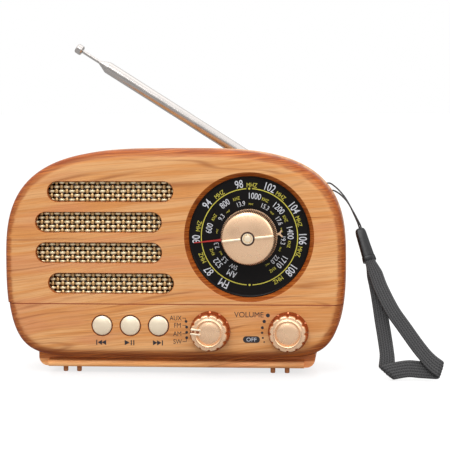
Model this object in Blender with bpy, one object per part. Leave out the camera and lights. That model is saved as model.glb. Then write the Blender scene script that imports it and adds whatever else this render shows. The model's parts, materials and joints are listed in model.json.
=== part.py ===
"""Retro table radio with a wood-look casing, a round dial, a telescopic aerial and a wrist strap.

Metres, +Z up, front towards -Y. The origin is on the floor, under the middle of the radio's box.
"""
import math

import bmesh
import bpy
import numpy as np
from mathutils import Matrix, Vector

# ---------------------------------------------------------------- driving dimensions
GAP = 0.0003                     # clearance between touching pieces

CASE_HALF_WIDTH = 0.095          # casing outline: a superellipse, widest at CASE_MID_Z
CASE_MID_Z = 0.0612
CASE_RISE = 0.0645               # from the widest level up to the crown
CASE_DROP = 0.0520               # from the widest level down to the belly
RISE_EXPONENTS = (3.36, 2.97)    # across, up
DROP_EXPONENTS = (10.7, 2.49)    # across, down
CASE_POINTS = 68                 # points around the outline
CASE_DEPTH = 0.058
FRONT_ROUNDING = 0.006
BACK_SHRINK = 0.012              # the casing narrows by this much towards its flat back,
BACK_RUN = 0.034                 # over this much of its depth
FRONT_STEPS = 3
BACK_STEPS = 6
FRONT_WALL = 0.0030
SIDE_WALL = 0.0026
SPLIT_DEPTH = 0.022              # the front half of the casing
SEAM_Z = 0.0402                  # joint between front shell and control panel
SEAM_GAP = 0.0006
PANEL_INSET = 0.0005             # the control panel is this much smaller all round

KNOB_PROUD = 0.0094              # how far the tuning knob stands out of the front
FRONT_Y = (KNOB_PROUD - CASE_DEPTH) / 2
BACK_Y = FRONT_Y + CASE_DEPTH
SPLIT_Y = FRONT_Y + SPLIT_DEPTH
BEHIND_FRONT_Y = FRONT_Y + FRONT_WALL + GAP

SLOT_HEIGHT = 0.0111             # speaker slots: level, left end, right end
SLOTS = (
    (0.1024, -0.0700, 0.0001),
    (0.0854, -0.0769, -0.0064),
    (0.0684, -0.0769, -0.0064),
    (0.0514, -0.0700, 0.0001),
)

SPEAKER_CENTRE = (-0.0385, 0.0769)
SPEAKER_RADIUS = 0.0345
GRILLE_THICKNESS = 0.0008
GRILLE_SPAN = (-0.0785, 0.0030, 0.0446, 0.1092)     # left, right, low, high
GRILLE_CORNER = 0.0100

DIAL_CENTRE = (0.0420, 0.0773)
DIAL_MOUTH_RADIUS = 0.0358       # the recess narrows towards the dial
DIAL_FLOOR_RADIUS = 0.0336
DIAL_PLATE_RADIUS = 0.0366
DIAL_THICKNESS = 0.0016

TUNING_BASE_RADIUS = 0.0156
TUNING_FACE_RADIUS = 0.0146
POINTER_THICKNESS = 0.0005
POINTER_REACH = 0.0310
POINTER_TAIL = 0.0180
RIDGE_TILT = math.radians(6.2)

SMALL_KNOB_BASE_RADIUS = 0.0112
SMALL_KNOB_FACE_RADIUS = 0.0099
SMALL_KNOB_HEIGHT = 0.0088
SMALL_KNOB_LOBES = 12
BAND_CENTRE = (0.0203, 0.0251)
VOLUME_CENTRE = (0.0636, 0.0250)
BAND_MARK_ANGLE = math.radians(174)
SHAFT_RADIUS = 0.0030
SHAFT_HOLE_RADIUS = 0.0036

BUTTON_RADIUS = 0.0050
BUTTON_HOLE_RADIUS = 0.0058
BUTTON_PROUD = 0.0016
BUTTON_TRAVEL = 0.0010
BUTTON_Z = 0.0279
BUTTONS = (("previous", -0.0401), ("play", -0.0243), ("next", -0.0085))

BOARD_Y = FRONT_Y + 0.0170       # front face of the main board
BOARD_THICKNESS = 0.0016
BOARD_OUTLINE = ((-0.0600, 0.0145), (0.0730, 0.0145), (0.0730, 0.0900), (0.0220, 0.0900),
                 (0.0220, 0.0365), (-0.0600, 0.0365))
PORT_Z = 0.0560                  # row of sockets in the back
PORT_BOARD_Y = BACK_Y - 0.0160
PORT_BOARD_SPAN = (0.0210, 0.0780)
PORT_BOARD_HALF_HEIGHT = 0.0110
FLAT_PORTS = (("usb", 0.0300, 0.0134, 0.0060), ("card", 0.0475, 0.0124, 0.0022))   # centre, width, height
ROUND_PORTS = (("aux", 0.0610), ("dc", 0.0720))
ROUND_PORT_RADIUS = 0.0032
SOCKET_WALL = 0.0006

PLINTH_HALF_WIDTH = 0.078
PLINTH_UNDERSIDE_Z = 0.0034
PLINTH_TOP_Z = 0.0210            # before the casing's belly is cut out of it
PLINTH_CORNER = 0.0050
PLINTH_FRONT_Y = FRONT_Y + 0.0100
PLINTH_BACK_Y = BACK_Y - 0.0080
LIP_HALF_WIDTH = 0.0720
LIP_FRONT_Y = FRONT_Y + 0.0060
LIP_TOP_Z = 0.0072
LIP_CORNER = 0.0016
FOOT_RADIUS = 0.00135
FOOT_XS = (-0.0632, -0.0555, 0.0542, 0.0622)
FOOT_ROWS = (("front", FRONT_Y + 0.0120), ("rear", BACK_Y - 0.0140))

REBATE_Z = 0.1030                # step along the top of the back, where the aerial folds away
REBATE_DEPTH = 0.0090
REBATE_WALL_Y = BACK_Y - REBATE_DEPTH
AERIAL_PIVOT = Vector((0.0553, BACK_Y - 0.0045, 0.1080))
AERIAL_ANGLE = math.radians(32.5)
AERIAL_DIRECTION = Vector((-math.cos(AERIAL_ANGLE), 0.0, math.sin(AERIAL_ANGLE)))
AERIAL_BALL_RADIUS = 0.0039
AERIAL_BOLT_RADIUS = 0.0020
AERIAL_TUBE_START = 0.0085       # distances along the aerial from its pivot
AERIAL_TUBE_END = 0.1196
AERIAL_MOUTH_STEP = 0.0011        # how far each inner tube's mouth stands out of the next
AERIAL_TIP_END = 0.1405
AERIAL_TUBE_RADII = (0.00350, 0.00300, 0.00250, 0.00200, 0.00155)
AERIAL_TUBE_WALL = 0.00025
AERIAL_ROD_RADIUS = 0.0010
AERIAL_CAP_RADIUS = 0.0029
AERIAL_CAP_LENGTH = 0.0040

ROD_START = (-0.0600, FRONT_Y + 0.0360, 0.1110)     # left end of the ferrite rod
ROD_RADIUS = 0.0036
ROD_LENGTH = 0.0780
COIL_RADIUS = 0.0052
COIL_SPAN = (0.0100, 0.0300)     # distances along the rod

BATTERY_CENTRE = (-0.0330, 0.0450)
BATTERY_BAY_DEPTH = 0.0100
BATTERY_BAY_WALL = 0.0014
DOOR_THICKNESS = 0.0022
BATTERY_SIZE = (0.0530, 0.0056, 0.0340)
BATTERY_DOOR_SIZE = (0.0620, 0.0410)

SCREW_PLACES = ((-0.0825, 0.0935), (0.0812, 0.0910), (-0.0780, 0.0250), (0.0790, 0.0250))
SCREW_SEAT_Y = BACK_Y - 0.0120
POST_RADIUS = 0.0034
SCREW_HOLE_RADIUS = 0.0018
SCREW_RADIUS = 0.0014
SCREW_HEAD_RADIUS = 0.0025

STRAP_HOLE_ANGLE = math.radians(41)   # direction of the two strap holes, up from +X
STRAP_HOLE_CENTRE = Vector((0.0835, BACK_Y - 0.0140, 0.1016))
STRAP_HOLE_SPACING = 0.0050
STRAP_HOLE_RADIUS = 0.0012
CORD_RADIUS = 0.00045
BRAID_WIDTH = 0.0080
BRAID_THICKNESS = 0.0022
STRAP_FACE = Vector((0.0, -1.0, 0.37)).normalized()     # the way that the flat loop faces
SLEEVE_TOP = Vector((0.1027, -0.0018, 0.0796))
SLEEVE_BOTTOM = Vector((0.1080, -0.0082, 0.0636))

# The strap cord goes up from the sleeve, in through one hole, out through the other and back.
CORD_ROUTE = (
    (0.1025, -0.0010, 0.0804),
    (0.1014, 0.0008, 0.0836),
    (0.0996, 0.0032, 0.0874),
    (0.0969, 0.0064, 0.0928),
    (0.0941, 0.0098, 0.0972),
    (0.0909, 0.0140, 0.1007),
    (0.0876, 0.0175, 0.1034),
    (0.0853, 0.0193, 0.1047),
    (0.0833, 0.0197, 0.1046),
    (0.0819, 0.0197, 0.1035),
    (0.0804, 0.0197, 0.1022),
    (0.0789, 0.0197, 0.1009),
    (0.0780, 0.0197, 0.0992),
    (0.0786, 0.0197, 0.0974),
    (0.0803, 0.0197, 0.0965),
    (0.0821, 0.0197, 0.0971),
    (0.0836, 0.0197, 0.0984),
    (0.0851, 0.0197, 0.0997),
    (0.0866, 0.0193, 0.1006),
    (0.0886, 0.0164, 0.1002),
    (0.0917, 0.0113, 0.0985),
    (0.0954, 0.0064, 0.0950),
    (0.0988, 0.0022, 0.0898),
    (0.1015, -0.0010, 0.0851),
    (0.1030, -0.0016, 0.0822),
    (0.1034, -0.0018, 0.0806),
)

# The braid leaves the sleeve, goes down to the floor, across it and back up behind itself.
BRAID_ROUTE = (
    (0.1082, -0.0097, 0.0633),
    (0.1118, -0.0124, 0.0560),
    (0.1148, -0.0151, 0.0486),
    (0.1208, -0.0193, 0.0373),
    (0.1272, -0.0225, 0.0286),
    (0.1345, -0.0261, 0.0190),
    (0.1396, -0.0284, 0.0128),
    (0.1424, -0.0296, 0.0093),
    (0.1413, -0.0298, 0.0074),
    (0.1362, -0.0290, 0.0072),
    (0.1293, -0.0289, 0.0072),
    (0.1238, -0.0290, 0.0072),
    (0.1202, -0.0288, 0.0080),
    (0.1186, -0.0272, 0.0106),
    (0.1182, -0.0256, 0.0145),
    (0.1167, -0.0218, 0.0231),
    (0.1151, -0.0186, 0.0318),
    (0.1137, -0.0152, 0.0402),
    (0.1122, -0.0118, 0.0482),
    (0.1104, -0.0090, 0.0560),
    (0.1082, -0.0073, 0.0624),
)


# ---------------------------------------------------------------- materials
def material(name, colour, roughness, metallic=0.0):
    """A plain finish: colour is linear RGB."""
    finish = bpy.data.materials.new(name)
    finish.use_nodes = True
    shader = finish.node_tree.nodes["Principled BSDF"]
    shader.inputs["Base Color"].default_value = (*colour, 1.0)
    shader.inputs["Roughness"].default_value = roughness
    shader.inputs["Metallic"].default_value = metallic
    return finish


# ---------------------------------------------------------------- building blocks
def add_object(name, bm, finish, smooth_angle=35.0):
    """Turn a bmesh into a named object and shade its round parts smooth."""
    bmesh.ops.recalc_face_normals(bm, faces=bm.faces)
    if bm.calc_volume(signed=True) < 0:
        bmesh.ops.reverse_faces(bm, faces=bm.faces)
    mesh = bpy.data.meshes.new(name)
    bm.to_mesh(mesh)
    bm.free()
    mesh.shade_smooth()
    mesh.set_sharp_from_angle(angle=math.radians(smooth_angle))
    piece = bpy.data.objects.new(name, mesh)
    piece.data.materials.append(finish)
    bpy.context.scene.collection.objects.link(piece)
    return piece


def loft(rings, closed=False):
    """Skin a row of rings that have the same number of points; closed joins the last to the first."""
    bm = bmesh.new()
    loops = [[bm.verts.new(point) for point in ring] for ring in rings]
    pairs = list(zip(loops, loops[1:]))
    if closed:
        pairs.append((loops[-1], loops[0]))
    for near, far in pairs:
        count = len(near)
        for i in range(count):
            j = (i + 1) % count
            bm.faces.new((near[i], near[j], far[j], far[i]))
    if not closed:
        bm.faces.new(loops[0])
        bm.faces.new(loops[-1])
    return bm


def circle(radius, centre, axis, segments):
    """Points of a circle around an axis, starting in the direction of the frame's first side."""
    frame = Vector(axis).to_track_quat("Z", "X").to_matrix()
    points = []
    for i in range(segments):
        angle = 2 * math.pi * i / segments
        spoke = Vector((radius * math.cos(angle), radius * math.sin(angle), 0.0))
        points.append(Vector(centre) + frame @ spoke)
    return points


def turned(name, profile, centre, axis, finish, segments=32, closed=False):
    """A turned piece: profile holds (radius, distance along the axis) from one end to the other."""
    direction = Vector(axis).normalized()
    start = Vector(centre)
    rings = [circle(radius, start + direction * along, direction, segments) for radius, along in profile]
    return add_object(name, loft(rings, closed), finish)


def box(name, low, high, finish, bevel=0.0):
    """A block from its lowest to its highest corner, with an optional edge rounding."""
    bm = bmesh.new()
    size = [high[i] - low[i] for i in range(3)]
    middle = [(high[i] + low[i]) / 2 for i in range(3)]
    bmesh.ops.create_cube(bm, size=1.0, matrix=Matrix.Translation(middle) @ Matrix.Diagonal((*size, 1.0)))
    if bevel:
        bmesh.ops.bevel(bm, geom=bm.edges[:], offset=bevel, segments=2, profile=0.5, affect="EDGES")
    return add_object(name, bm, finish)


def prism(name, outline, near_y, far_y, finish):
    """An outline of (x, z) points, extruded along Y."""
    rings = [[(x, y, z) for x, z in outline] for y in (near_y, far_y)]
    return add_object(name, loft(rings), finish)


def rounded_rectangle(left, right, low, high, radius, steps=6):
    """Outline with four round corners; a stadium when the radius is half the height."""
    corners = (
        (right - radius, high - radius, 0),
        (left + radius, high - radius, 90),
        (left + radius, low + radius, 180),
        (right - radius, low + radius, 270),
    )
    points = []
    for x, z, first in corners:
        for step in range(steps + 1):
            angle = math.radians(first + 90 * step / steps)
            points.append((x + radius * math.cos(angle), z + radius * math.sin(angle)))
    return points


def boolean(piece, operation, cutter):
    """Cut with, or join, another object, which is then only a guide."""
    modifier = piece.modifiers.new(operation.title(), "BOOLEAN")
    modifier.operation = operation
    modifier.object = cutter
    cutter.hide_render = True
    cutter.display_type = "WIRE"


def smooth_route(points, spacing):
    """Evenly spaced points on the Catmull-Rom curve through the given points."""
    knots = [Vector(point) for point in points]
    knots = [2 * knots[0] - knots[1]] + knots + [2 * knots[-1] - knots[-2]]
    fine = []
    for before, start, end, after in zip(knots, knots[1:], knots[2:], knots[3:]):
        for t in np.linspace(0.0, 1.0, 24, endpoint=False):
            bend = (2 * before - 5 * start + 4 * end - after) * t ** 2
            twist = (3 * start - before - 3 * end + after) * t ** 3
            fine.append((2 * start + (end - before) * t + bend + twist) / 2)
    fine = np.array([*fine, knots[-2]])
    along = np.concatenate([[0.0], np.cumsum(np.linalg.norm(np.diff(fine, axis=0), axis=1))])
    stations = np.linspace(0.0, along[-1], round(along[-1] / spacing) + 1)
    return [Vector(column) for column in zip(*(np.interp(stations, along, fine[:, i]) for i in range(3)))]


# ---------------------------------------------------------------- casing
def case_outline(inset=0.0):
    """Evenly spaced (x, z) points around the casing, moved inwards by inset."""
    turn = np.linspace(0.0, 2 * math.pi, 4001)
    across, up = np.cos(turn), np.sin(turn)
    above = up >= 0
    across_power = 2 / np.where(above, RISE_EXPONENTS[0], DROP_EXPONENTS[0])
    up_power = 2 / np.where(above, RISE_EXPONENTS[1], DROP_EXPONENTS[1])
    height = np.where(above, CASE_RISE, CASE_DROP) - inset
    x = (CASE_HALF_WIDTH - inset) * np.sign(across) * np.abs(across) ** across_power
    z = CASE_MID_Z + height * np.sign(up) * np.abs(up) ** up_power
    along = np.concatenate([[0.0], np.cumsum(np.hypot(np.diff(x), np.diff(z)))])
    stations = np.linspace(0.0, along[-1], CASE_POINTS, endpoint=False)
    return list(zip(np.interp(stations, along, x), np.interp(stations, along, z)))


def case_ring(inset, y):
    """The casing outline as a ring of points at one depth."""
    return [(x, y, z) for x, z in case_outline(inset)]


def rounded_end(inset, edge_y, shrink, run, steps):
    """Rings of an elliptic rounding, from the flat face at edge_y to the side wall, run further on."""
    rings = []
    for step in range(steps + 1):
        angle = math.radians(90 * step / steps)
        side = inset + shrink * (1 - math.sin(angle))
        rings.append(case_ring(side, edge_y + run * (1 - math.cos(angle))))
    return rings


def front_half(name, inset, finish):
    """The casing's front half as a cup that opens backwards."""
    rings = rounded_end(inset, FRONT_Y, FRONT_ROUNDING, FRONT_ROUNDING, FRONT_STEPS)
    rings.append(case_ring(inset, SPLIT_Y))
    rings.append(case_ring(inset + SIDE_WALL, SPLIT_Y))
    rings.append(case_ring(inset + SIDE_WALL, FRONT_Y + FRONT_WALL + 0.0015))
    rings.append(case_ring(inset + SIDE_WALL + 0.0015, FRONT_Y + FRONT_WALL))
    return add_object(name, loft(rings), finish)


def round_hole(name, centre, radius, near_y, far_y, finish, far_radius=None, segments=32):
    """A cutter for a round hole along Y, straight or tapering."""
    end = radius if far_radius is None else far_radius
    profile = ((radius, 0.0), (end, far_y - near_y))
    return turned(name, profile, (centre[0], near_y, centre[1]), (0, 1, 0), finish, segments)


def screw_post(name, place, near_y, far_y, finish):
    """A round post inside the casing, at one of the case screws."""
    profile = ((POST_RADIUS, 0.0), (POST_RADIUS, far_y - near_y))
    return turned(name, profile, (place[0], near_y, place[1]), (0, 1, 0), finish, 16)


def make_front_shell(wood, guide):
    """Upper front of the casing, with the speaker slots and the dial recess."""
    shell = front_half("front_shell", 0.0, wood)
    below = box("below_seam", (-0.1, FRONT_Y - 0.01, 0.0), (0.1, SPLIT_Y + 0.01, SEAM_Z), guide)
    boolean(shell, "DIFFERENCE", below)
    for number, (level, left, right) in enumerate(SLOTS, 1):
        half = SLOT_HEIGHT / 2
        outline = rounded_rectangle(left, right, level - half, level + half, half - 0.00001, 5)
        cutter = prism(f"slot_{number}", outline, FRONT_Y - 0.002, FRONT_Y + 0.006, guide)
        boolean(shell, "DIFFERENCE", cutter)
    slope = (DIAL_MOUTH_RADIUS - DIAL_FLOOR_RADIUS) / FRONT_WALL
    reach = 0.001
    mouth = round_hole("dial_mouth", DIAL_CENTRE, DIAL_MOUTH_RADIUS + slope * reach,
                       FRONT_Y - reach, FRONT_Y + FRONT_WALL + reach, guide,
                       DIAL_FLOOR_RADIUS - slope * reach, 56)
    boolean(shell, "DIFFERENCE", mouth)
    for number, place in enumerate(SCREW_PLACES[:2], 1):
        post = screw_post(f"front_post_{number}", place, FRONT_Y + 0.002, SPLIT_Y - GAP, guide)
        boolean(shell, "UNION", post)
        hole = round_hole(f"front_post_hole_{number}", place, SCREW_HOLE_RADIUS,
                          FRONT_Y + 0.008, SPLIT_Y + 0.002, guide, segments=16)
        boolean(shell, "DIFFERENCE", hole)


def make_control_panel(wood, guide):
    """Lower front of the casing, with the holes for the buttons and the knob shafts."""
    panel = front_half("control_panel", PANEL_INSET, wood)
    top = SEAM_Z - SEAM_GAP
    above = box("above_seam", (-0.1, FRONT_Y - 0.01, top), (0.1, SPLIT_Y + 0.01, 0.14), guide)
    boolean(panel, "DIFFERENCE", above)
    for name, x in BUTTONS:
        hole = round_hole(f"{name}_hole", (x, BUTTON_Z), BUTTON_HOLE_RADIUS,
                          FRONT_Y - 0.002, FRONT_Y + 0.006, guide)
        boolean(panel, "DIFFERENCE", hole)
    for name, centre in (("band", BAND_CENTRE), ("volume", VOLUME_CENTRE)):
        hole = round_hole(f"{name}_hole", centre, SHAFT_HOLE_RADIUS,
                          FRONT_Y - 0.002, FRONT_Y + 0.006, guide, segments=24)
        boolean(panel, "DIFFERENCE", hole)
    for number, place in enumerate(SCREW_PLACES[2:], 3):
        post = screw_post(f"panel_post_{number}", place, FRONT_Y + 0.002, SPLIT_Y - GAP, guide)
        boolean(panel, "UNION", post)
        hole = round_hole(f"panel_post_hole_{number}", place, SCREW_HOLE_RADIUS,
                          FRONT_Y + 0.008, SPLIT_Y + 0.002, guide, segments=16)
        boolean(panel, "DIFFERENCE", hole)


def rebate_box(name, margin, guide):
    """The step along the top of the back, or the same step grown by a wall thickness."""
    low = (-0.1, REBATE_WALL_Y - margin, REBATE_Z - margin)
    return box(name, low, (0.1, BACK_Y + 0.01, 0.14), guide)


def back_solid(name, inset, near_y, finish):
    """A closed block with the casing's outline, narrowing to a flat back; inset makes it smaller."""
    rings = rounded_end(inset, BACK_Y - inset, BACK_SHRINK, -BACK_RUN, BACK_STEPS)
    rings.append(case_ring(inset, near_y))
    return add_object(name, loft(rings), finish)


def bay_box(name, wall, near_y, far_y, guide):
    """A block around the battery bay, which is as wide and high as its door."""
    x, z = BATTERY_CENTRE
    width, height = BATTERY_DOOR_SIZE
    low = (x - width / 2 - wall, near_y, z - height / 2 - wall)
    return box(name, low, (x + width / 2 + wall, far_y, z + height / 2 + wall), guide)


def port_cutters(guide):
    """Openings in the back for the four sockets."""
    near, far = BACK_Y - 0.006, BACK_Y + 0.002
    for name, x, width, height in FLAT_PORTS:
        low = (x - width / 2, near, PORT_Z - height / 2)
        yield box(f"{name}_opening", low, (x + width / 2, far, PORT_Z + height / 2), guide)
    for name, x in ROUND_PORTS:
        yield round_hole(f"{name}_opening", (x, PORT_Z), ROUND_PORT_RADIUS, near, far, guide, segments=24)


def strap_holes(guide):
    """Two holes through the upper right side, for the strap cord to go in and out."""
    out = Vector((math.cos(STRAP_HOLE_ANGLE), 0.0, math.sin(STRAP_HOLE_ANGLE)))
    along = Vector((-out.z, 0.0, out.x))
    for number, side in enumerate((1, -1), 1):
        start = STRAP_HOLE_CENTRE + along * (side * STRAP_HOLE_SPACING / 2) - out * 0.006
        profile = ((STRAP_HOLE_RADIUS, 0.0), (STRAP_HOLE_RADIUS, 0.012))
        yield turned(f"strap_hole_{number}", profile, start, out, guide, 12)


def make_rear_shell(wood, guide):
    """Back half of the casing: hollow, with the aerial rebate, battery bay, ports and strap holes."""
    near_y = SPLIT_Y + GAP
    hollow = back_solid("rear_hollow", SIDE_WALL, near_y - 0.002, guide)
    boolean(hollow, "DIFFERENCE", rebate_box("rebate_wall", SIDE_WALL, guide))
    boolean(hollow, "DIFFERENCE", bay_box("bay", BATTERY_BAY_WALL,
                                         BACK_Y - BATTERY_BAY_DEPTH - 0.0015, BACK_Y, guide))
    for number, place in enumerate(SCREW_PLACES, 1):
        boolean(hollow, "DIFFERENCE", screw_post(f"rear_post_{number}", place, near_y, BACK_Y, guide))

    shell = back_solid("rear_shell", 0.0, near_y, wood)
    boolean(shell, "DIFFERENCE", rebate_box("rebate", 0.0, guide))
    boolean(shell, "DIFFERENCE", hollow)
    boolean(shell, "DIFFERENCE", bay_box("bay_pocket", 0.0,
                                         BACK_Y - BATTERY_BAY_DEPTH, BACK_Y + 0.002, guide))
    for cutter in [*port_cutters(guide), *strap_holes(guide)]:
        boolean(shell, "DIFFERENCE", cutter)
    for number, place in enumerate(SCREW_PLACES, 1):
        hole = round_hole(f"rear_post_hole_{number}", place, SCREW_HOLE_RADIUS,
                          near_y - 0.002, BACK_Y + 0.002, guide, segments=16)
        boolean(shell, "DIFFERENCE", hole)
        well = round_hole(f"screw_well_{number}", place, SCREW_HEAD_RADIUS + GAP,
                          SCREW_SEAT_Y, BACK_Y + 0.002, guide, segments=16)
        boolean(shell, "DIFFERENCE", well)
    bolt_hole = round_hole("aerial_bolt_hole", (AERIAL_PIVOT.x, AERIAL_PIVOT.z), AERIAL_BOLT_RADIUS + GAP,
                           REBATE_WALL_Y - 0.006, REBATE_WALL_Y + 0.003, guide, segments=16)
    boolean(shell, "DIFFERENCE", bolt_hole)


def make_plinth(wood, guide):
    """The base under the casing: coved front, a lip along the bottom, cut to the casing's belly."""
    outline = rounded_rectangle(-PLINTH_HALF_WIDTH, PLINTH_HALF_WIDTH, PLINTH_UNDERSIDE_Z,
                                PLINTH_TOP_Z, PLINTH_CORNER)
    plinth = prism("plinth", outline, PLINTH_FRONT_Y, PLINTH_BACK_Y, wood)
    lip_outline = rounded_rectangle(-LIP_HALF_WIDTH, LIP_HALF_WIDTH, PLINTH_UNDERSIDE_Z, LIP_TOP_Z,
                                    LIP_CORNER, 3)
    lip = prism("lip", lip_outline, LIP_FRONT_Y, PLINTH_FRONT_Y + 0.002, guide)
    boolean(plinth, "UNION", lip)
    boolean(plinth, "DIFFERENCE", back_solid("belly", -GAP, LIP_FRONT_Y - 0.01, guide))


def make_feet(rubber):
    """Eight small rubber feet in two rows."""
    for row, y in FOOT_ROWS:
        for number, x in enumerate(FOOT_XS, 1):
            top = PLINTH_UNDERSIDE_Z - GAP
            profile = ((FOOT_RADIUS * 0.8, 0.0), (FOOT_RADIUS, 0.0005), (FOOT_RADIUS, top))
            turned(f"foot_{row}_{number}", profile, (x, y, 0.0), (0, 0, 1), rubber, 12)


def make_case_screws(steel):
    """Four screws from the back, through the rear posts into the front ones."""
    for number, (x, z) in enumerate(SCREW_PLACES, 1):
        profile = (
            (SCREW_RADIUS * 0.5, -0.0300), (SCREW_RADIUS, -0.0280), (SCREW_RADIUS, GAP),
            (SCREW_HEAD_RADIUS, GAP), (SCREW_HEAD_RADIUS, 0.0013), (SCREW_HEAD_RADIUS * 0.7, 0.0019),
        )
        turned(f"case_screw_{number}", profile, (x, SCREW_SEAT_Y, z), (0, 1, 0), steel, 12)


# ---------------------------------------------------------------- speaker
def make_speaker(mesh_gold, basket_metal, paper, rubber, magnet_metal):
    """Grille cloth, basket, roll surround, cone with its voice coil, and magnet."""
    x, z = SPEAKER_CENTRE
    outline = rounded_rectangle(*GRILLE_SPAN, GRILLE_CORNER, 4)
    grille_back = BEHIND_FRONT_Y + GRILLE_THICKNESS
    prism("speaker_grille", outline, BEHIND_FRONT_Y, grille_back, mesh_gold)

    centre = (x, grille_back + 0.0026, z)
    basket = (
        (SPEAKER_RADIUS, 0.0), (SPEAKER_RADIUS, 0.0015), (0.0285, 0.0015), (0.0185, 0.0150),
        (0.0185, 0.0165), (0.0095, 0.0165), (0.0095, 0.0150), (0.0172, 0.0150), (0.0275, 0.0008),
        (0.0310, 0.0),
    )
    turned("speaker_basket", basket, centre, (0, 1, 0), basket_metal, 28, closed=True)
    surround = (
        (0.0338, -0.0003), (0.0310, -0.0003), (0.0295, -0.0014), (0.0278, -0.0014), (0.0262, -0.0003),
        (0.0252, -0.0003), (0.0252, -0.0009), (0.0272, -0.0020), (0.0301, -0.0020), (0.0313, -0.0009),
        (0.0338, -0.0009),
    )
    turned("speaker_surround", surround, centre, (0, 1, 0), rubber, 28, closed=True)
    cone = (
        (0.0010, 0.0058), (0.0060, 0.0068), (0.0082, 0.0090), (0.0246, 0.0), (0.0249, 0.0),
        (0.0249, 0.0006), (0.0088, 0.0098), (0.0088, 0.0178), (0.0082, 0.0178), (0.0082, 0.0100),
        (0.0060, 0.0076), (0.0010, 0.0066),
    )
    turned("speaker_cone", cone, centre, (0, 1, 0), paper, 28)
    magnet = ((0.0072, 0.0120), (0.0072, 0.0190), (0.0200, 0.0190), (0.0200, 0.0290), (0.0060, 0.0290))
    turned("speaker_magnet", magnet, centre, (0, 1, 0), magnet_metal, 28)


# ---------------------------------------------------------------- dial and knobs
def make_dial(black, gold, cream, steel, guide):
    """Dial plate, tuning knob with its ridge, pointer, hub cap and shaft."""
    x, z = DIAL_CENTRE
    plate = ((SHAFT_RADIUS + GAP, 0.0), (DIAL_PLATE_RADIUS, 0.0),
             (DIAL_PLATE_RADIUS, DIAL_THICKNESS), (SHAFT_RADIUS + GAP, DIAL_THICKNESS))
    turned("dial_plate", plate, (x, BEHIND_FRONT_Y, z), (0, 1, 0), black, 56, closed=True)

    pointer_y = BEHIND_FRONT_Y - 0.0004 - POINTER_THICKNESS
    tip = ((-POINTER_REACH, -0.0003), (-0.0150, -0.0009), (-0.0055, -0.0036), (0.0055, -0.0036))
    tail = ((0.0150, -0.0010), (POINTER_TAIL, -0.0022), (POINTER_TAIL - 0.0018, 0.0))
    lower = [*tip, *tail]
    upper = [(a, -b) for a, b in reversed(lower[:-1])]
    tilted = []
    for along, side in [*lower, *upper]:
        turn = Matrix.Rotation(RIDGE_TILT, 2) @ Vector((along, side))
        tilted.append((x + turn.x, z + turn.y))
    pointer = prism("dial_pointer", tilted, pointer_y, pointer_y + POINTER_THICKNESS, gold)
    boolean(pointer, "DIFFERENCE",
            round_hole("pointer_hole", DIAL_CENTRE, SHAFT_RADIUS + GAP, pointer_y - 0.001,
                       BEHIND_FRONT_Y, guide, segments=24))

    face_y = FRONT_Y - KNOB_PROUD
    ridge = 0.0006
    base = pointer_y - GAP - face_y
    knob = (
        (0.0040, ridge), (0.0120, ridge + 0.0002), (TUNING_FACE_RADIUS - 0.0006, ridge + 0.0006),
        (TUNING_FACE_RADIUS, ridge + 0.0014), (TUNING_BASE_RADIUS, base),
        (SHAFT_RADIUS + GAP, base), (SHAFT_RADIUS + GAP, 0.0040),
    )
    tuning = turned("tuning_knob", knob, (x, face_y, z), (0, 1, 0), gold, 48)
    bar = box("ridge_bar", (-0.0130, 0.0, -0.0006), (0.0130, ridge + 0.0012, 0.0006), guide)
    bar.location = (x, face_y, z)
    bar.rotation_euler = (0.0, -RIDGE_TILT, 0.0)
    boolean(tuning, "UNION", bar)
    boolean(tuning, "DIFFERENCE",
            round_hole("hub_seat", DIAL_CENTRE, 0.0041, face_y - 0.001, face_y + 0.0016, guide))
    cap = ((0.0012, 0.0001), (0.0024, 0.0003), (0.0024, 0.0007), (0.0037, 0.0007), (0.0037, 0.0013))
    turned("tuning_hub_cap", cap, (x, face_y, z), (0, 1, 0), cream, 32)

    shaft_start = face_y + 0.0046
    shaft_end = FRONT_Y + 0.0075
    turned("tuning_shaft", ((SHAFT_RADIUS, 0.0), (SHAFT_RADIUS, shaft_end - shaft_start)),
           (x, shaft_start, z), (0, 1, 0), steel, 24)


def lobed_ring(radius, notch, centre, y, samples=4):
    """A ring of round lobes with narrow notches between them."""
    count = SMALL_KNOB_LOBES * samples
    points = []
    for i in range(count):
        angle = 2 * math.pi * i / count
        pinch = max(0.0, math.cos(SMALL_KNOB_LOBES * angle))
        reach = radius - notch * pinch
        points.append((centre[0] + reach * math.cos(angle), y, centre[1] + reach * math.sin(angle)))
    return points


def make_small_knob(name, centre, gold, steel):
    """Scalloped knob with a raised ring on its face, and its shaft."""
    face_y = FRONT_Y - GAP - SMALL_KNOB_HEIGHT
    back = SMALL_KNOB_HEIGHT
    profile = (
        (0.0025, 0.0, 0.0003), (0.0060, 0.0, 0.0009), (0.0066, 0.0, 0.0014), (0.0069, 0.0, 0.0003),
        (0.0076, 0.0, 0.0), (0.0082, 0.0, 0.0006), (SMALL_KNOB_FACE_RADIUS - 0.0004, 0.0003, 0.0007),
        (SMALL_KNOB_FACE_RADIUS, 0.0008, 0.0014), (SMALL_KNOB_BASE_RADIUS, 0.0008, back),
        (SHAFT_RADIUS + GAP, 0.0, back), (SHAFT_RADIUS + GAP, 0.0, 0.0030),
    )
    rings = [lobed_ring(radius, notch, centre, face_y + along) for radius, notch, along in profile]
    knob = add_object(f"{name}_knob", loft(rings), gold)
    shaft_y = face_y + 0.0034
    turned(f"{name}_shaft", ((SHAFT_RADIUS, 0.0), (SHAFT_RADIUS, FRONT_Y + 0.0080 - shaft_y)),
           (centre[0], shaft_y, centre[1]), (0, 1, 0), steel, 24)
    return knob


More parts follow.
